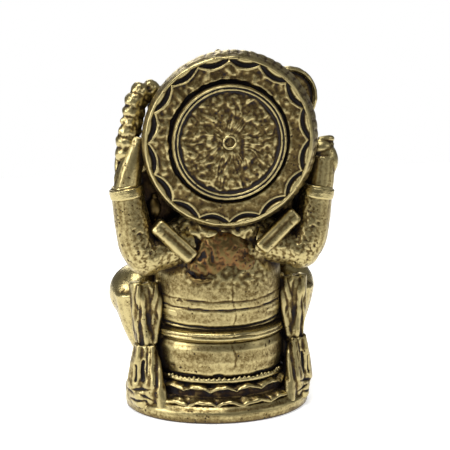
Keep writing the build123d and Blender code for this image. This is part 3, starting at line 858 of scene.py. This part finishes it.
class FIGURINE_OT_side_cloth(bpy.types.Operator):
    """Builds the gathered cloth behind each knee and the ribbed, scrolled sash end below it"""
    bl_idname = "figurine.side_cloth"
    bl_label = "Side cloth"

    def execute(self, context):
        folds = []
        for i in range(5):
            spots = []
            for step in range(6):
                down = step / 5
                spots.append((
                    8.5 + 0.68 * i + (1.1 - 0.42 * i) * down + 0.22 * math.sin(2.7 * i + 4 * down),
                    2.7 + 0.8 * down + 0.3 * math.sin(1.9 * i + 5 * down),
                    17.7 - 0.25 * abs(i - 2) - 9.2 * down,
                ))
            folds.append(roll(spots, [0.26, 0.36, 0.3, 0.38, 0.3, 0.34]))
        drape = fuse("side_drape_left_cast", [
            roll([(9.9, 0.9, 17.0), (10.1, 1.5, 13.2), (9.9, 2.5, 8.4)], [2.1, 1.95, 1.4]),
            roll([(8.1, 2.2, 17.6), (8.2, 3.0, 15.2), (8.5, 3.2, 12.6), (9.0, 3.3, 9.4)],
                 [0.4, 0.5, 0.5, 0.4]),
            *folds,
        ], grain=0.13, soften=6)
        press(drape, lambda x, y, z: cast_skin(x, y, z) + 0.16 * grit(x, y, z * 0.4, 0.6, 50)
              + 0.2 * grit(x, y, z * 0.6, 1.3, 54)
              - 0.4 * ramp(grit(x, y, z * 0.5, 1.0, 51), 0.25, 0.7) * ramp(z, 9, 11))
        cast_pair(drape, RELIEF_BRASS, "aged_brass", "side_drape")

        tail = fuse("sash_tail_left_cast", [
            roll([(10.2, 2.8, 9.2), (10.5, 2.8, 6.6), (10.5, 2.4, 3.2)], [1.4, 1.8, 2.1]),
            slab((10.45, 2.5, 2.2), (3.4, 5.6, 3.6), (0, 0, 16), edge=1.4),
            lump((10.2, 1.4, 2.5), (2.1, 4.4, 2.1), (0, 0, 10)),
            lump((9.0, 0.6, 7.6), (1.3, 2.6, 2.6)),
            lump((9.4, 4.0, 3.6), (1.5, 2.3, 3.2)),
            roll([(9.2, 3.8, 8.8), (8.9, 5.0, 6.0), (8.7, 5.9, 3.6), (8.3, 6.5, 1.2)],
                 [0.5, 0.65, 0.85, 0.9]),
            roll([(9.5, 4.2, 9.3), (9.8, 4.9, 7.0), (9.9, 5.5, 4.2)], [0.4, 0.5, 0.45]),
        ], grain=0.14, soften=7)

        def tail_relief(x, y, z):
            """Two long slots between the ribs, short notches under them and a fine ribbing above the notches."""
            back = ramp(y, 2.2, 3.4)
            wander = 0.12 * grit(x * 0, x * 0, z, 1.0, 52)
            slots = 0.0
            for middle, low, high in ((10.7, 4.3, 7.6), (11.6, 4.1, 7.0)):
                line = band(x, middle - 0.1 * (z - 6) + wander, 0.17)
                slots = slots + line * ramp(z, low, low + 0.6) * ramp(high - z, 0, 0.6)
            notches = 0.0
            for cx, cz, slant, reach in (
                (11.2, 3.5, -0.3, 0.9), (10.6, 2.7, 0.35, 0.7), (11.6, 2.0, -0.2, 0.8),
            ):
                notches = notches + band(z, cz + slant * (x - cx) + 0.6 * wander, 0.14) * band(x, cx, reach)
            rib = 0.1 * np.cos(6.2 * (x + 0.1 * z)) * ramp(z, 3.6, 4.6)
            return (back * (rib - 0.5 * slots - 0.22 * notches) + cast_skin(x, y, z)
                    + 0.05 * grit(x, y, z, 0.7, 53))

        press(tail, tail_relief)
        cast_pair(tail, RELIEF_BRASS, "aged_brass", "sash_tail")
        return {"FINISHED"}


# ---- arms ---------------------------------------------------------------------------------------
def arm_skin(x, y, z):
    """Smooth outside, rough and pitted towards the halo and along the inside of the arm."""
    inside = ramp(12.4 - np.abs(x) - 0.12 * np.abs(z - 22), -0.6, 1.6)
    return cast_skin(x, y, z, 0.02) - inside * (0.05 * ramp(grit(x, y, z, 0.3, 60), -0.3, 0.4))


class FIGURINE_OT_rear_arms(bpy.types.Operator):
    """Builds the raised arms, their bangles, the open left hand, the right fist and the shoulder bars"""
    bl_idname = "figurine.rear_arms"
    bl_label = "Rear arms"

    def execute(self, context):
        forearm = fuse("rear_forearm_left_cast", [
            roll([(11.9, 4.5, 25.5), (12.5, 4.4, 29.9)], [2.3, 2.1]),
            roll([(9.4, 4.5, 20.9), (11.0, 4.6, 21.9), (11.8, 4.5, 25.2), (12.4, 4.4, 29.2)],
                 [2.5, 2.6, 2.4, 2.05]),
            lump((10.1, 4.5, 21.4), (2.8, 2.6, 2.6)),
        ], grain=0.17, soften=8)
        press(forearm, arm_skin)
        cast_pair(forearm, BRASS, "aged_brass", "rear_forearm")

        upper = fuse("rear_upper_arm_left_cast", [
            roll([(4.4, 3.4, 22.8), (7.2, 4.0, 22.2), (10.0, 4.5, 21.5)], [2.8, 2.7, 2.4]),
            lump((6.0, 3.2, 23.0), (3.0, 2.6, 2.6)),
        ], grain=0.17, soften=8)
        press(upper, arm_skin)
        cast_pair(upper, BRASS, "aged_brass", "rear_upper_arm")

        bangle = turn_on_lathe("rear_bangle_left_cast", [
            (1.4, -0.85), (2.15, -0.8), (2.25, -0.6), (2.27, 0), (2.22, 0.45), (2.0, 0.55), (1.88, 0.6),
            (1.9, 0.72), (1.8, 0.86), (1.4, 0.8), (1.4, -0.85),
        ], 96, step=0.1, soften=2)
        press(bangle, lambda x, y, z: 0.04 * grit(x, y, z, 0.6, 61))
        place(bangle, (12.45, 4.4, 29.0), turn=(2, 9, 0))
        other = other_side(bangle, "rear_bangle_right_cast")
        place(bangle, (0.1, 0, 0.9))
        cast(bangle, SMOOTH_BRASS, "rubbed_brass", "rear_bangle_left")
        cast(other, SMOOTH_BRASS, "rubbed_brass", "rear_bangle_right")

        fingers = [
            roll([(11.4 + 0.55 * i, 3.6, 33.6), (11.1 + 0.55 * i, 3.2, 35.0),
                  (11.0 + 0.5 * i, 2.4, 35.6 - 0.2 * abs(i - 1.3))],
                 [0.42, 0.4, 0.32])
            for i in range(4)
        ]
        palm = fuse("rear_hand_left_cast", [
            roll([(12.6, 4.4, 30.0), (12.3, 4.5, 32.0), (11.6, 4.6, 34.2), (10.8, 4.4, 36.8)],
                 [1.75, 1.65, 1.35, 0.9]),
            lump((12.4, 4.3, 31.4), (1.8, 1.3, 1.9), (0, -10, 0)),
            roll([(13.4, 3.8, 31.6), (13.6, 3.0, 33.2), (13.2, 2.4, 34.4)], [0.5, 0.46, 0.38]),
            *fingers,
        ], grain=0.11, soften=5)
        press(palm, lambda x, y, z: cast_skin(x, y, z, 0.02))
        cast(palm, BRASS, "aged_brass", "rear_hand_left")

        knuckles = [
            roll([(-12.3 - 0.1 * i, 4.9 - 0.2 * i, 33.3 + 0.78 * i),
                  (-13.3 - 0.12 * i, 5.15 - 0.3 * i, 33.5 + 0.78 * i),
                  (-14.3 - 0.08 * i, 4.4 - 0.2 * i, 33.5 + 0.74 * i), (-14.3, 3.2, 33.4 + 0.72 * i),
                  (-13.3, 2.7, 33.4 + 0.7 * i)],
                 [0.44] * 5)
            for i in range(4)
        ]
        fist = fuse("rear_hand_right_cast", [
            roll([(-12.7, 4.4, 29.2), (-13.1, 4.3, 31.0), (-13.2, 4.2, 33.6)], [1.8, 1.75, 1.65]),
            lump((-13.4, 4.2, 32.9), (1.85, 1.5, 2.4)),
            lump((-12.9, 4.2, 34.7), (1.5, 1.2, 1.1)),
            roll([(-12.2, 4.0, 31.6), (-11.9, 3.3, 33.0), (-12.5, 2.6, 34.0)], [0.55, 0.5, 0.4]),
            *knuckles,
        ], grain=0.11, soften=3)
        press(fist, lambda x, y, z: cast_skin(x, y, z, 0.02))
        cast(fist, BRASS, "aged_brass", "rear_hand_right")

        bar = fuse("epaulette_left_cast", [
            slab((0, 0, 0), (6.7, 2.15, 2.0), edge=0.5),
            slab((-0.1, 0.4, 0.35), (6.2, 1.1, 1.7), (10, 0, 0), edge=0.4),
        ], grain=0.13, soften=4)
        press(bar, lambda x, y, z: cast_skin(x, y, z) + 0.05 * grit(x, y, z, 1.2, 62))
        tilt = Matrix.Rotation(math.radians(-44), 4, "Y") @ Matrix.Rotation(math.radians(-90), 4, "X")
        place(bar, (6.8, 6.1, 23.5), tilt)
        higher = other_side(bar, "epaulette_right_cast")
        place(higher, (0, 0, 0.8))
        cast(bar, BRASS, "rubbed_brass", "epaulette_left")
        cast(higher, BRASS, "rubbed_brass", "epaulette_right")
        return {"FINISHED"}


class FIGURINE_OT_attributes(bpy.types.Operator):
    """Builds the scaled rope noose and the round-headed axe"""
    bl_idname = "figurine.attributes"
    bl_label = "Noose and axe"

    def execute(self, context):
        rope = context.scene.figurine_sizes.rope_radius / MM
        lean = (Matrix.Translation((10.2, 3.0, 37.9)) @ Matrix.Rotation(math.radians(18), 4, "Z")
                @ Matrix.Rotation(math.radians(-14), 4, "Y"))
        bend, straight, count = 1.7, 2.9, 17
        length = 4 * straight + 2 * math.pi * bend
        scales, core = [], []
        for i in range(count):
            run = (i + 0.5) * length / count
            if run < 2 * straight:
                spot, heading = (bend, 0, run - straight), 0
            elif run < 2 * straight + math.pi * bend:
                arc = (run - 2 * straight) / bend
                spot, heading = (bend * math.cos(arc), 0, straight + bend * math.sin(arc)), arc
            elif run < 4 * straight + math.pi * bend:
                spot, heading = (-bend, 0, straight - (run - 2 * straight - math.pi * bend)), math.pi
            else:
                arc = (run - 4 * straight - math.pi * bend) / bend + math.pi
                spot, heading = (bend * math.cos(arc), 0, -straight + bend * math.sin(arc)), arc
            along = Matrix.Translation(spot) @ Matrix.Rotation(-heading, 4, "Y")
            scale = lump((0, 0, 0), (rope * 1.17, rope, 1.25))
            place(scale, (0, 0, 0), lean @ along @ Matrix.Rotation(math.radians(-26), 4, "X")
                  @ Matrix.Rotation(0.3, 4, "Y"))
            scales.append(scale)
            core.append(tuple(lean @ Vector(spot)))
        scales.append(roll([*core, *core[:2]], [rope * 0.95] * (count + 2)))
        noose = fuse("noose_cast", scales, grain=0.11, soften=3)
        press(noose, lambda x, y, z: cast_skin(x, y, z) + 0.12 * grit(x, y, z, 0.7, 65)
              + 0.05 * grit(x, y, z, 0.35, 67))
        cast(noose, BRASS, "rubbed_brass", "noose")

        handle = fuse("axe_handle_cast", [
            roll([(-13.7, 2.9, 29.9), (-11.1, 2.9, 36), (-8.6, 2.9, 42.0)], [0.5, 0.5, 0.5]),
            lump((-13.75, 2.9, 29.85), (0.75, 0.75, 0.7)),
            lump((-10.3, 2.9, 38.0), (0.8, 0.8, 0.35), (0, 23, 0)),
        ], grain=0.11, soften=2)
        cast(handle, SMOOTH_BRASS, "rubbed_brass", "axe_handle")

        blade = turn_on_lathe("axe_blade_cast", [
            (0, -0.2), (1.6, -0.16), (3.1, -0.14), (3.3, -0.5), (3.55, -0.7), (3.8, -0.5), (3.9, 0),
            (3.8, 0.5), (3.55, 0.7), (3.3, 0.5), (3.1, 0.14), (1.6, 0.16), (0, 0.2),
        ], 160, step=0.11, soften=2)
        press(blade, lambda x, y, z: 0.04 * grit(x, y, z, 0.6, 66))
        place(blade, (-8.8, 2.9, 41.3), turn=(90, 0, 0))
        cast(blade, BRASS, "rubbed_brass", "axe_blade")
        return {"FINISHED"}


class FIGURINE_OT_front_arms(bpy.types.Operator):
    """Builds the lower arms, the left palm with its bowl of sweets and the right palm raised in blessing"""
    bl_idname = "figurine.front_arms"
    bl_label = "Front arms"

    def execute(self, context):
        upper = fuse("front_upper_arm_left_cast", [
            roll([(5.8, 0.6, 22.4), (7.7, -1.2, 20.0), (8.5, -3.0, 17.6)], [2.4, 2.25, 1.9]),
            lump((6.0, 0.8, 22.4), (2.6, 2.5, 2.5)),
        ], grain=0.17, soften=8)
        press(upper, cast_skin)
        cast_pair(upper, SMOOTH_BRASS, "aged_brass", "front_upper_arm")

        left = fuse("front_forearm_left_cast", [
            roll([(8.6, -3.0, 17.6), (7.9, -5.6, 16.8), (6.4, -8.6, 16.5)], [1.95, 1.8, 1.25]),
        ], grain=0.15, soften=6)
        press(left, cast_skin)
        cast(left, SMOOTH_BRASS, "aged_brass", "front_forearm_left")
        right = fuse("front_forearm_right_cast", [
            roll([(-8.6, -3.0, 17.6), (-8.2, -5.6, 17.6), (-6.9, -8.0, 18.5)], [1.95, 1.8, 1.25]),
        ], grain=0.15, soften=6)
        press(right, cast_skin)
        cast(right, SMOOTH_BRASS, "aged_brass", "front_forearm_right")

        rings = []
        for wrist, back in (
            ((6.5, -8.3, 16.55), (8.3, -4.6, 17.0)),
            ((-7.0, -7.8, 18.35), (-8.3, -5.2, 17.6)),
        ):
            lean = (Vector(wrist) - Vector(back)).normalized()
            for shift, thick in ((-0.75, 0.24), (-0.25, 0.36), (0.25, 0.24)):
                rings.append(hoop(Vector(wrist) + lean * shift, lean, 1.42, thick))
        bangles = fuse("front_bangles_cast", rings, grain=0.12, soften=2)
        cast(bangles, SMOOTH_BRASS, "rubbed_brass", "front_bangles")

        fingers = [
            roll([(4.6 + 0.55 * i, -9.8, 16.2), (4.0 + 0.7 * i, -10.7 + 0.1 * abs(i - 1.5), 16.3),
                  (3.9 + 0.75 * i, -11.3 + 0.12 * abs(i - 1.5), 16.9)], [0.4, 0.38, 0.3])
            for i in range(4)
        ]
        palm = fuse("front_hand_left_cast", [
            lump((5.5, -9.4, 16.15), (1.65, 1.5, 0.7)),
            roll([(6.8, -9.3, 16.2), (7.3, -10.0, 16.8), (7.1, -10.4, 17.5)], [0.5, 0.42, 0.34]),
            *fingers,
        ], grain=0.11, soften=3)
        cast(palm, BRASS, "aged_brass", "front_hand_left")

        blessing = [
            roll([(-5.95 - 0.52 * i, -8.75, 20.4), (-5.9 - 0.55 * i, -8.95, 21.7),
                  (-5.95 - 0.52 * i, -9.0, 22.8 - 0.22 * abs(i - 1.2))],
                 [0.38, 0.36, 0.3])
            for i in range(4)
        ]
        raised = fuse("front_hand_right_cast", [
            roll([(-6.9, -8.1, 18.6), (-6.8, -8.7, 19.8)], [1.0, 0.9]),
            lump((-6.75, -8.8, 20.0), (1.2, 0.7, 1.35)),
            roll([(-5.9, -8.9, 19.4), (-5.3, -9.2, 20.3), (-5.2, -9.3, 21.0)], [0.45, 0.4, 0.32]),
            *blessing,
        ], grain=0.11, soften=3)
        cast(raised, BRASS, "aged_brass", "front_hand_right")

        bowl = turn_on_lathe("sweet_bowl_cast", [
            (0, 0), (0.9, 0), (1.05, 0.12), (1.0, 0.25), (1.6, 0.75), (1.95, 1.25), (2.02, 1.38), (1.9, 1.45),
            (1.72, 1.3), (1.3, 0.75), (0.9, 0.42), (0, 0.36),
        ], 72, step=0.1, soften=1)
        place(bowl, (5.2, -9.8, 16.9))
        cast(bowl, SMOOTH_BRASS, "rubbed_brass", "sweet_bowl")

        heap = [lump((5.2, -9.8, 17.9), (1.25, 1.25, 0.7)), lump((5.2, -9.8, 18.85), (0.6, 0.6, 0.66))]
        for i in range(6):
            angle = math.radians(60 * i)
            spot = (5.2 + math.cos(angle), -9.8 + math.sin(angle), 18.15)
            heap.append(lump(spot, (0.52, 0.52, 0.52)))
        sweets = fuse("sweets_cast", heap, grain=0.11, soften=1)
        cast(sweets, SMOOTH_BRASS, "rubbed_brass", "sweets")
        return {"FINISHED"}


# ---- head ---------------------------------------------------------------------------------------
class FIGURINE_OT_head(bpy.types.Operator):
    """Builds the elephant's head with eyes and brow, its ears, trunk, tusks and ear drops"""
    bl_idname = "figurine.head"
    bl_label = "Head"

    def execute(self, context):
        eye_x, eye_z = 2.45, 31.7
        features = []
        for side in (1, -1):
            features += [
                lump((eye_x * side, -4.1, eye_z), (0.78, 0.62, 0.55), (0, 0, 28 * side)),
                roll([(1.5 * side, -4.9, 31.8), (2.4 * side, -4.75, 32.45), (3.5 * side, -3.7, 31.8)],
                     [0.26, 0.32, 0.26]),
                roll([(1.55 * side, -4.8, 31.45), (2.45 * side, -4.65, 31.0), (3.4 * side, -3.7, 31.5)],
                     [0.22, 0.28, 0.22]),
                lump((1.55 * side, -1.6, 34.3), (2.2, 2.3, 2.1)),
                lump((2.5 * side, -1.4, 30.4), (2.0, 2.6, 2.4)),
                lump((2.3 * side, -2.5, 30.0), (1.5, 1.8, 1.5)),
            ]
        head = fuse("head_cast", [
            lump((0, 0.8, 32.4), (4.9, 5.1, 5.0)),
            lump((0, -1.0, 32.6), (4.2, 3.5, 4.0)),
            lump((0, -1.6, 30.6), (3.8, 3.3, 3.2)),
            lump((0, -3.0, 32.4), (2.4, 2.0, 2.9)),
            lump((0, -3.2, 28.9), (1.3, 1.5, 1.0)),
            *features,
        ], grain=0.13, soften=5)
        press(head, lambda x, y, z: cast_skin(x, y, z, 0.02)
              - 0.2 * band(np.hypot(np.abs(x) - eye_x, z - eye_z), 0.0, 0.17) * ramp(-y, 3, 3.4))
        cast(head, SMOOTH_BRASS, "aged_brass", "head")

        def trunk_creases(x, y, z):
            """Soft creases across the trunk, from the brow down to the curl."""
            creases = np.abs(np.cos(2.6 * (z - 0.35 * y) + 0.4 * grit(x, y, z, 2.0, 72))) ** 8
            return -0.09 * creases * ramp(-y, 3.8, 5.2) * ramp(z, 18.5, 20) + cast_skin(x, y, z, 0.02)

        nose = fuse("trunk_cast", [
            roll([(0, -3.2, 32.8), (0, -5.2, 30.8), (0, -6.7, 28.0), (0.05, -7.9, 24.5), (0.3, -8.9, 21.4),
                  (1.2, -9.8, 19.4), (2.6, -10.1, 18.9), (3.1, -9.9, 19.7)],
                 [1.9, 1.95, 1.75, 1.5, 1.3, 1.1, 0.9, 0.75]),
        ], grain=0.13, soften=3)
        press(nose, trunk_creases)
        cast(nose, SMOOTH_BRASS, "aged_brass", "trunk")

        folds = [
            roll([(5.2, 0.7, 35.0), (7.6, 1.2, 36.1), (10.0, 2.1, 34.4), (10.5, 2.3, 31.2), (9.8, 2.0, 27.9),
                  (8.2, 1.6, 25.9), (6.2, 1.0, 26.9)], [0.35, 0.42, 0.42, 0.42, 0.4, 0.4, 0.3]),
            roll([(4.9, 0.4, 33.6), (6.6, 0.55, 33.3), (8.4, 1.0, 33.0)], [0.3, 0.28, 0.12]),
            roll([(4.9, 0.4, 32.0), (6.7, 0.5, 31.5), (8.5, 1.1, 31.2)], [0.3, 0.28, 0.12]),
            roll([(4.9, 0.4, 30.6), (6.4, 0.55, 29.9), (7.8, 1.0, 29.3)], [0.28, 0.25, 0.12]),
        ]
        ear = fuse("ear_left_cast", [
            lump((7.7, 1.8, 30.0), (4.1, 0.6, 5.7), (0, 8, 13)),
            lump((8.6, 2.2, 27.8), (2.9, 0.7, 4.2), (0, 4, 13)),
            lump((6.0, 1.2, 31.0), (2.6, 0.8, 4.4), (0, 0, 8)),
            *folds,
        ], grain=0.13, soften=4)
        press(ear, lambda x, y, z: cast_skin(x, y, z, 0.02) + 0.05 * grit(x, y, z, 1.2, 70))
        # The ears are cast in blackened brass, which paints the shade of the gap between ear and head into their
        # colour.
        cast_pair(ear, BLACKENED_AND_SHADED_BRASS, "aged_brass", "ear")

        drop_parts = []
        for side in (1, -1):
            drop_parts += [
                lump((8.9 * side, 3.1, 27.3), (1.0, 0.9, 1.4)),
                lump((8.8 * side, 3.0, 28.8), (0.5, 0.5, 0.4)),
                lump((8.9 * side, 3.1, 25.8), (0.4, 0.4, 0.35)),
            ]
        drops = fuse("ear_drops_cast", drop_parts, grain=0.11, soften=2)
        cast(drops, BLACKENED_AND_SHADED_BRASS, "rubbed_brass", "ear_pendants")

        whole = fuse("tusk_left_cast", [
            roll([(2.2, -3.6, 30.0), (2.7, -5.8, 28.9), (3.0, -7.6, 28.0), (3.2, -8.8, 27.9)],
                 [0.75, 0.66, 0.46, 0.2]),
            roll([(2.2, -4.2, 29.75), (2.3, -4.6, 29.5)], [0.88, 0.85]),
        ], grain=0.11, soften=2)
        cast(whole, SMOOTH_BRASS, "rubbed_brass", "tusk_left")
        broken = fuse("tusk_right_cast", [
            roll([(-2.2, -3.6, 30.0), (-2.55, -5.2, 29.2), (-2.8, -6.5, 28.6)], [0.75, 0.66, 0.6]),
            roll([(-2.2, -4.2, 29.75), (-2.3, -4.6, 29.5)], [0.88, 0.85]),
            lump((-2.75, -6.7, 28.7), (0.3, 0.3, 0.2), (30, 0, 0)),
        ], grain=0.11, soften=1)
        cast(broken, SMOOTH_BRASS, "rubbed_brass", "tusk_right")
        return {"FINISHED"}


class FIGURINE_OT_crown(bpy.types.Operator):
    """Turns the brow band and the tiered crown, and gives them beads, petals and a front jewel"""
    bl_idname = "figurine.crown"
    bl_label = "Crown"

    def execute(self, context):
        ring = turn_on_lathe("crown_band_ring", [
            (0, 35.5), (3.9, 35.5), (4.15, 35.75), (4.0, 36.0), (4.05, 36.9), (4.2, 37.15), (3.9, 37.4),
            (0, 37.5),
        ], 120, step=0.16, soften=1)
        place(ring, (0, CROWN_BACK, 0))
        jewels = [ring, lump((0, -3.05, 36.6), (0.75, 0.45, 1.0)), lump((0, -3.0, 37.7), (0.45, 0.35, 0.5))]
        for i in range(20):
            angle = 2 * math.pi * (i + 0.5) / 20
            spot = (3.98 * math.cos(angle), CROWN_BACK + 3.98 * math.sin(angle), 36.45)
            jewels.append(lump(spot, (0.34, 0.34, 0.34)))
        band_piece = fuse("crown_band_cast", jewels, grain=0.13, soften=1)
        cast(band_piece, SMOOTH_BRASS, "rubbed_brass", "crown_band")

        def petal_rows(x, y, z):
            """Upright petals on each tier and a swirl on the bud."""
            angle = np.arctan2(y - CROWN_BACK, x)
            rows = ((37.5, 40.2, 14), (40.2, 42.8, 12), (42.8, 44.9, 10))
            total = 0.08 * np.cos(8 * angle + 3 * z) * ramp(z, 44.9, 45.2)
            for low, high, count in rows:
                inside = ramp(z, low, low + 0.15) * ramp(high - z, 0, 0.15)
                across = np.abs(np.cos(count * angle / 2))
                total = total + inside * (0.2 * ramp(across, 0.25, 0.6) - 0.16)
            return total

        tiers = turn_on_lathe("crown_cast", [
            (0, 37.2), (3.2, 37.2), (3.5, 37.5), (3.75, 38.3), (3.4, 39.2), (2.9, 40.0), (2.55, 40.15),
            (2.85, 40.7), (2.75, 41.4), (2.1, 42.5), (1.75, 42.7), (1.95, 43.3), (1.5, 44.3),
            (0.95, 44.8), (0.72, 44.9), (1.02, 45.4), (1.0, 46.0), (0.6, 46.8), (0.25, 47.2), (0, 47.3),
        ], 200, step=0.13, soften=2)
        place(tiers, (0, CROWN_BACK, 0))
        press(tiers, petal_rows)
        cast(tiers, SMOOTH_BRASS, "rubbed_brass", "crown")
        return {"FINISHED"}


# ---- stage --------------------------------------------------------------------------------------
class FIGURINE_OT_stage(bpy.types.Operator):
    """Sets the pale floor, the soft lights and the camera"""
    bl_idname = "figurine.stage"
    bl_label = "Stage"

    def execute(self, context):
        deselect_all()
        bpy.ops.mesh.primitive_plane_add(size=0.34, location=(0, 0, -0.00002))
        floor = bpy.context.object
        floor.name = "floor"
        paper = bpy.data.materials.new("Matt white paper sweep")
        paper.use_nodes = True
        surface = paper.node_tree.nodes["Principled BSDF"]
        surface.inputs["Base Color"].default_value = context.scene.figurine_colours.floor
        surface.inputs["Roughness"].default_value = 0.9
        surface.inputs["Emission Color"].default_value = (1, 1, 1, 1)
        surface.inputs["Emission Strength"].default_value = 0.6
        floor.data.materials.append(paper)

        world = bpy.data.worlds.new("white tent")
        context.scene.world = world
        world.use_nodes = True
        tree = world.node_tree
        tree.nodes.clear()
        # The tent is white to look at, but the metal sees a grey room with bright boxes in it.
        seen = add(tree, "LightPath").outputs["Is Camera Ray"]
        tent = add(tree, "Background", values={"Color": (1, 1, 1, 1), "Strength": 1.0})
        room = add(tree, "Background", values={"Color": (1, 0.98, 0.95, 1), "Strength": 0.2})
        both = add(tree, "MixShader",
                   links={0: seen, 1: room.outputs["Background"], 2: tent.outputs["Background"]})
        add(tree, "OutputWorld", links={"Surface": both.outputs["Shader"]})
        context.scene.view_settings.view_transform = "Standard"

        aim = Vector((0, 0, 24 * MM))
        for name, spot, size, power in (
            ("top softbox", (0.07, 0.1, 0.33), 0.2, 0.85),
            ("left softbox", (0.32, 0.1, 0.14), 0.18, 0.6),
            ("right softbox", (-0.3, 0.14, 0.16), 0.12, 0.08),
            ("front fill", (0.0, -0.32, 0.2), 0.2, 0.35),
        ):
            lamp = bpy.data.lights.new(name, "AREA")
            lamp.shape = "SQUARE"
            lamp.size = size
            lamp.energy = power
            holder = bpy.data.objects.new(name, lamp)
            context.collection.objects.link(holder)
            holder.location = spot
            holder.rotation_euler = (aim - Vector(spot)).to_track_quat("-Z", "Y").to_euler()

        azimuth, elevation = math.radians(168.5), math.radians(12)
        distance, view_width = 0.225, 0.0594
        middle = Vector((-0.0011, 0, 0.0240))
        level = math.cos(elevation)
        away = Vector((math.sin(azimuth) * level, -math.cos(azimuth) * level, math.sin(elevation)))
        lens = bpy.data.cameras.new("camera")
        lens.sensor_width = 36
        lens.lens = lens.sensor_width * distance / view_width
        lens.clip_start = 0.01
        camera = bpy.data.objects.new("camera", lens)
        context.collection.objects.link(camera)
        camera.location = middle + away * distance
        camera.rotation_euler = (-away).to_track_quat("-Z", "Y").to_euler()
        context.scene.camera = camera
        return {"FINISHED"}


class FIGURINE_PT_panel(bpy.types.Panel):
    """Sizes, colours and one button for each group of pieces"""
    bl_idname = "FIGURINE_PT_panel"
    bl_label = "Cast Brass Figurine"
    bl_space_type = "VIEW_3D"
    bl_region_type = "UI"
    bl_category = "Figurine"

    def draw(self, context):
        for group in (context.scene.figurine_sizes, context.scene.figurine_colours):
            for name in group.__annotations__:
                self.layout.prop(group, name)
        for maker in MAKERS:
            self.layout.operator(maker.bl_idname)


# The groups of pieces, in the order in which they are made.
MAKERS = (
    FIGURINE_OT_metals, FIGURINE_OT_stage, FIGURINE_OT_halo, FIGURINE_OT_seat, FIGURINE_OT_body,
    FIGURINE_OT_legs, FIGURINE_OT_side_cloth, FIGURINE_OT_rear_arms, FIGURINE_OT_attributes,
    FIGURINE_OT_front_arms, FIGURINE_OT_head, FIGURINE_OT_crown,
)
CLASSES = (FigurineSizes, FigurineColours, *MAKERS, FIGURINE_PT_panel)


def register():
    for cls in CLASSES:
        bpy.utils.register_class(cls)
    bpy.types.Scene.figurine_sizes = bpy.props.PointerProperty(type=FigurineSizes)
    bpy.types.Scene.figurine_colours = bpy.props.PointerProperty(type=FigurineColours)


def unregister():
    del bpy.types.Scene.figurine_colours
    del bpy.types.Scene.figurine_sizes
    for cls in reversed(CLASSES):
        bpy.utils.unregister_class(cls)


def main():
    register()
    for maker in MAKERS:
        group, name = maker.bl_idname.split(".")
        getattr(getattr(bpy.ops, group), name)()


if __name__ == "__main__":
    main()
